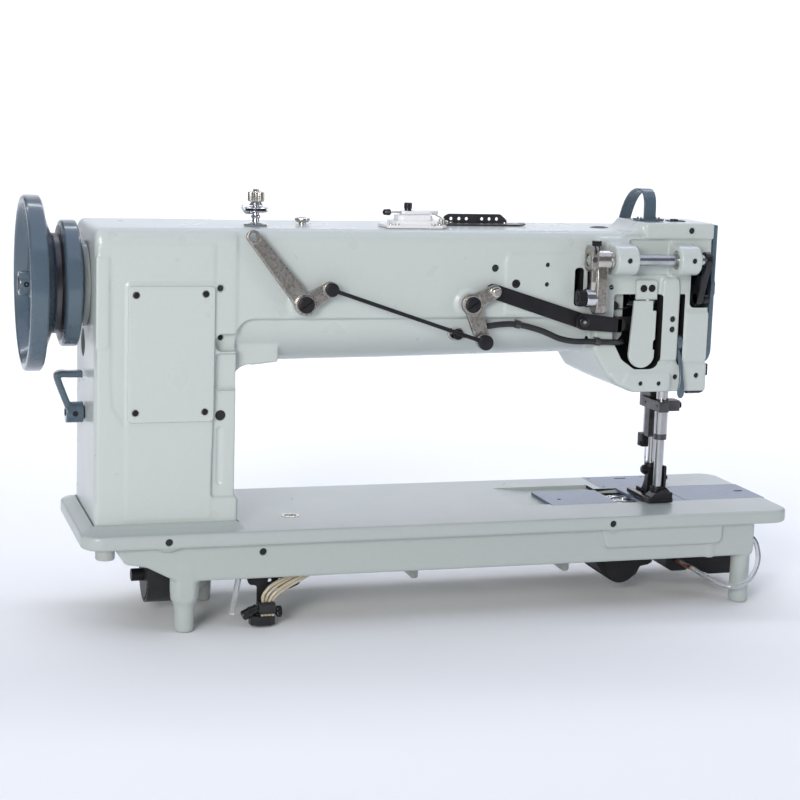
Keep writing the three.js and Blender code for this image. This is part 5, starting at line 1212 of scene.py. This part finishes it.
extra("bell_lever_pins", join(lathe("y", [(-84.2, 0), (-84.2, 6.0), (-83.6, 7.3), (-82.6, 7.6), (-81.9, 7.4), (-81.9, 2.6), (-75, 2.6), (-75, 0)], E, 40)), BLACK, "bell_crank")
extra("bell_lever_stud", lathe("y", [(-82.4, 0), (-82.4, 2.8), (-81.8, 3.4), (-79.6, 3.4), (-79.4, 4.7), (-78.8, 5.2), (-76.2, 5.4), (-75.8, 5.4), (-75.8, 0)], D, 40), NICKEL_FINE, "bell_crank")
lk = cut(prism("y", strap(D, LINK_F, 7.2, 7.8, 20), -70.3, -67.2, 0.5), lathe("y", [(-75, 3.35), (-60, 3.35)], D, 32))
lk = cut(lk, prism("y", rect((427.5, 211.2), 0.8, 7.5, -18), -71, -70.0))
piece("lift_link_black", lk, "lift_link", BLACK, "lift_link")
extra("lift_link_pin", lathe("y", [(-77.2, 0), (-77.2, 4.2), (-76.6, 5.2), (-75.6, 5.4), (-74.8, 5.2), (-74.8, 2.6), (-69, 2.6), (-69, 0)], LINK_F, 36), BLACK_GLOSS, "lift_link")
extra("lift_link_screw", lathe("y", [(-77.8, 0), (-77.8, 1.4), (-77.2, 1.9), (-76.8, 1.9), (-76.8, 0)], LINK_F, 24), NICKEL_FINE, "lift_link")
sl = cut(prism("y", strap(LINK_F, (520, 191.5), 8.4, 7.2, 20), -74, -70.9, 0.5), lathe("y", [(-80, 4.6), (-60, 4.6)], LINK_F, 40))
sl = join(sl, box(518.5, 524, -74, -56, 184.5, 198.5, 0.7), box(518.5, 556, -60, -56, 184.5, 198.5, 0.7))
piece("lift_slide_black", sl, "lift_slide", BLACK, "lift_slide")
extra("recess_screws", join(screw("y", -64.8, -1, (513.5, 229), 2.6, 1.6, ang=20), screw("y", -55.2, -1, (520.6, 209.5), 4.6, 5.4, ang=-30)), BLACK)
extra("recess_wall", prism("y", fillet([(506, 225), (506, 168), (516, 165), (526, 173), (531.5, 179), (531.5, 225)], [0, 2, 3, 4, 3, 0], 4), -55.6, -52.4, 0.4), ENAMEL)
extra("recess_wire", tube([(521, -59.6, 207.5), (526, -60.2, 206.6), (531, -60.4, 206.8), (534.5, -60.0, 208.4)], 0.55, 6, 8), BLACK)
extra("arm_screw", join(screw("y", -66.2, -1, (411.6, 232.7), 3.2, 1.5, ang=35), lathe("y", ring(-67.0, -66.2, 3.3, 4.3, 0.2), (411.6, 232.7), 32)), BLACK)
extra("belly_stud", join(lathe("y", [(-50, 0), (-50, 5.4), (-60.6, 5.4), (-61.6, 4.6), (-61.6, 3.0), (-59.5, 2.6), (-59.5, 0)], (356, 182), 36), box(354, 364, -60.5, -58.6, 178.6, 181.4, 0.4)), BLACK)
extra("belly_stud_ring", lathe("y", ring(-57.8, -48, 5.4, 7.6, 0.5), (353.6, 183.4), 40), NICKEL_FINE)

# ================================================================ rocking shaft
piece("rock_shaft_steel", lathe("x", [(482, 0), (482, 5.2), (482.6, 5.8), (539.2, 5.8), (613, 5.8), (613, 0)], (ROCK_Y, ROCK_Z), 56), "rock_unit", STEEL_X, "rock_shaft")
extra("rock_shaft_collar", lathe("x", ring(575.9, 579.2, 5.7, 8.4, 0.5), (ROCK_Y, ROCK_Z), 56), NICKEL_FINE, "rock_unit")
rc = cast_lever([
    prism("x", fillet([(-87.0, 253), (-88.6, 240), (-88.2, 212), (-85.6, 205), (-79, 203.5), (-73, 205), (-70.4, 212), (-70.4, 253)], [1, 6, 6, 4, 4, 4, 4, 1], 5), 488.6, 500.4, 1.4),
    prism("x", fillet([(-89.6, 249), (-90.4, 267), (-87.5, 272), (-74, 272), (-70.4, 267), (-70.4, 250), (-79, 245.5)], [3, 3, 2, 3, 3, 3, 4], 4), 480.8, 488.9, 1.2)],
    [lathe("x", [(470, 6.1), (520, 6.1)], (ROCK_Y, ROCK_Z), 48), box(484.0, 485.6, -95, -60, 264, 280), lathe("y", [(-95, 3.0), (-88.6, 2.8)], (484.4, 258.6), 32)], 0.5, 3)
piece("rock_crank_cast", rc, "rock_unit", NICKEL, "rock_crank")
extra("rock_crank_hub", lathe("x", ring(487.6, 503.6, 6.0, 9.6, 1.0), (ROCK_Y, ROCK_Z), 72), NICKEL_FINE, "rock_unit")
extra("rock_crank_web", prism("x", fillet([(-85.6, 252), (-86.2, 236), (-84.6, 226), (-73, 226), (-72, 252)], [1, 4, 3, 3, 1], 4), 483.6, 489.4, 1.4), NICKEL_FINE, "rock_unit")
extra("rock_crank_screws", join(screw("y", -89.2, -1, (484.4, 258.6), 2.6, 0.8, ang=30)), DARKSTEEL, "rock_unit")
extra("rock_crank_collars", join(lathe("x", ring(504.0, 506.9, 5.9, 8.6, 0.5), (ROCK_Y, ROCK_Z), 48)), NICKEL_FINE, "rock_unit")
extra("rock_crank_clamp", join(prism("z", shifted(hexagon(5.4, 8), (488.6, -82)), 271.6, 276.8, 0.6), lathe("z", rod(266, 272.4, 3.4, 0.2), (488.6, -82), 32)), BLACK_GLOSS, "rock_unit")
extra("rock_crank_pin", join(lathe("x", [(479.4, 0), (479.4, 8.6), (480.2, 9.2), (488.2, 9.2), (488.9, 8.4), (490, 8.4), (490, 0)], (ROCK_Y, 220), 56)), CHROME, "rock_unit")
hexn = cut(prism("x", shifted(hexagon(8.6, 12), (ROCK_Y, 220)), 471.5, 479.6, 0.5), prism("x", rect((ROCK_Y, 220), 0.1, 0.1, 0), 470, 471))
extra("rock_crank_nut", join(hexn, lathe("x", [(470.6, 0), (470.6, 3.4), (471.2, 4.0), (473, 4.0), (473, 0)], (ROCK_Y, 220), 32)), BLACK, "rock_unit")
ol = join(cut(prism("x", strap((ROCK_Y, ROCK_Z), (-65, 217), 8.4, 6, 20), 606, 612.6, 0.8), lathe("x", [(600, 6.15), (620, 6.15)], (ROCK_Y, ROCK_Z), 40)),
          lathe("x", [(606, 0), (606, 5.0), (606.6, 5.4), (612.2, 5.4), (612.4, 4.6), (614.4, 4.6), (614.6, 5.4), (619.4, 5.4), (620, 4.8), (620, 0)], (-65, 217), 40))
piece("rock_output_black", ol, "rock_unit", BLACK_GLOSS, "rock_output_lever")

# ================================================================ hand lifter
path = smooth_path([(0, -61.5, 166), (0, -66.5, 158.5), (0, -71.5, 150.5), (0, -75.2, 141), (0, -77.0, 131), (0, -77.3, 124), (0, -77.3, 117.2)], 8)
hl = sweep([(591.6 - 1.4 * i / (len(path) - 1), p[1], p[2]) for i, p in enumerate(path)], fillet([(-2.5, -1.7), (2.5, -1.7), (2.5, 1.7), (-2.5, 1.7)], 1.5, 4), up=(0, 1, 0),
           scale=lambda t: (np.interp(t, [0, 0.3, 0.5, 0.6, 0.7, 0.8, 0.88, 0.94, 0.98, 1.0], [1.0, 0.8, 0.74, 0.95, 1.36, 1.62, 1.6, 1.3, 0.85, 0.4]), np.interp(t, [0, 0.6, 0.9, 1.0], [1.0, 0.9, 0.75, 0.5])))
hl = join(hl, lathe("x", rod(589.0, 594.4, 8.0, 0.8), (-60, 172), 48))
hl = soften(hl, 0.35, 3)
piece("hand_lifter_slate", hl, "hand_lifter", SLATE, "hand_lifter")

# ================================================================ take-up, feed, plates and controls
tu = join(lathe("x", rod(603.8, 612.5, 8, 0.6), (32, 226), 48), lathe("x", rod(604, 621.4, 5, 0.4), (32, 226), 40),
          cut(prism("x", strap((32, 226), (88, 212), 5.5, 4.2, 16), 606, 609.5, 0.5), lathe("x", [(600, 2), (615, 2)], (88, 212), 24)))
piece("take_up_steel", tu, "take_up_lever", CHROME, "take_up_lever")
fd = framed(rrect(584, 598.4, -16.5, 13.5, 0.8, 5), rrect(588.9, 593.1, -5.6, 5.6, 2, 5), -3.4, -0.9, 0.25)
teeth = []
for x in (585.6, 588.0, 594.2, 596.8):
    teeth.append(prism("x", [p for k in range(18) for p in ((-15.6 + 1.6 * k, -1.2), (-14.6 + 1.6 * k, -0.3))] + [(12.8, -1.2), (12.8, -1.6), (-15.6, -1.6)], x - 0.7, x + 0.7))
fd = join(fd, *teeth, box(593.6, 598.4, -24, 22, -13, -3, 0.6))
piece("feed_dog_steel", fd, "feed_dog", STEEL, "feed_dog")
lp = cut(box(475, 547.6, -33.1, 29.6, -3, 0, 0.4), lathe("z", [(-5, 2.0), (-0.6, 2.0), (-0.1, 2.5), (2, 2.6)], (492, -8), 28), exact=True)
piece("slide_plate_left", lp, "left_slide_plate", PLATE, "left_slide_plate")
rp = cut(box(625.1, 716.7, -33.1, 33.1, -3, 0, 0.4), prism("z", rrect(698, 708, -2, 3, 1.2, 4), -5, 2), lathe("z", [(-1.4, 1.3), (1, 1.3)], (633, 26), 20), lathe("z", [(-1.4, 1.0), (1, 1.0)], (629, -29), 16))
piece("slide_plate_right", rp, "right_slide_plate", PLATE, "right_slide_plate")
dl = knurled("y", [(50, 0), (50, 6), (66.4, 6), (66.4, 21.4), (67, 22.4), (68.4, 23.6), (79.2, 23.2), (80.6, 22.2), (81.6, 20.2), (82, 18), (82, 9), (90, 8.2), (91, 7), (91, 0)], (62, 150), 36, 0.5, 5)
dl = cut(dl, prism("y", rect((62, 150), 12, 1.6, 45), 89.6, 94))
piece("stitch_dial_black", dl, "stitch_dial", BLACK_GLOSS, "stitch_dial")
marks = []
for i in range(10):
    t = math.radians(90 - i * 30)
    marks.append(prism("y", rect((62 + 15.4 * math.cos(t), 150 + 15.4 * math.sin(t)), 4.2, 0.7, math.degrees(t)), 81.7, 82.15))
extra("stitch_dial_marks", join(*marks), WHITE, "stitch_dial")
bl = soften(join(
    lathe("x", rod(-18, 24, 6.2, 0.8), (5, 101), 48), lathe("x", rod(-18, -1.3, 10.2, 0.8), (5, 101), 56),
    sweep(smooth_path([(-14.5, 4.5, 104), (-20, 4.5, 118), (-25.0, 4.5, 131.5), (-26.2, 4.5, 136.8), (-23.5, 4.5, 138.7), (-16, 4.5, 138.6), (-2.4, 4.5, 138.5)], 8), fillet([(-6.4, -3.2), (6.4, -3.2), (6.4, 3.2), (-6.4, 3.2)], 2.0, 4), up=(0, 0, 1))), 0.5, 4)
piece("back_tack_slate", bl, "back_tack_lever", SLATE, "back_tack_lever")
extra("back_tack_screw", join(screw("x", -17.8, -1, (5, 101), 3.4, 1.0, ang=20), lathe("y", [(-5.35, 0), (-5.35, 2.7), (-4.0, 2.7), (-4.0, 0)], (-9.6, 101), 32)), BLACK, "back_tack_lever")
ws = lathe("z", [(262, 0), (262, 3), (297.4, 3), (297.4, 4.3), (298.2, 4.6), (300, 4.6), (300.6, 3.4), (302, 3.2), (302, 4.0), (307.2, 4.0), (308, 3.4), (308, 0)], (311, -25), 40)
ws = cut(ws, box(305, 317, -25.5, -24.5, 304, 310))
piece("winder_spindle_black", ws, "winder_spindle", BLACK_GLOSS, "winder_spindle")
piece("thread_post_knob", knurled("z", [(307.4, 3.35), (307.4, 6.8), (307.9, 7.6), (308.6, 7.9), (315.6, 7.9), (316.4, 7.5), (317, 6.4), (317, 3.35), (307.4, 3.35)], tp, 22, 0.65, 5), "thread_post_nut", NICKEL_FINE, "thread_post_nut")
piece("tension_knob", knurled("y", [(76, 4.35), (76, 8.2), (76.6, 9.0), (77.5, 9.4), (85.4, 8.8), (86, 8.2), (86, 4.35), (76, 4.35)], tt, 26, 0.5, 5), "tension_nut", NICKEL_FINE, "tension_nut")

bpy.context.scene.collection.children.unlink(work)
bpy.data.collections.remove(work)
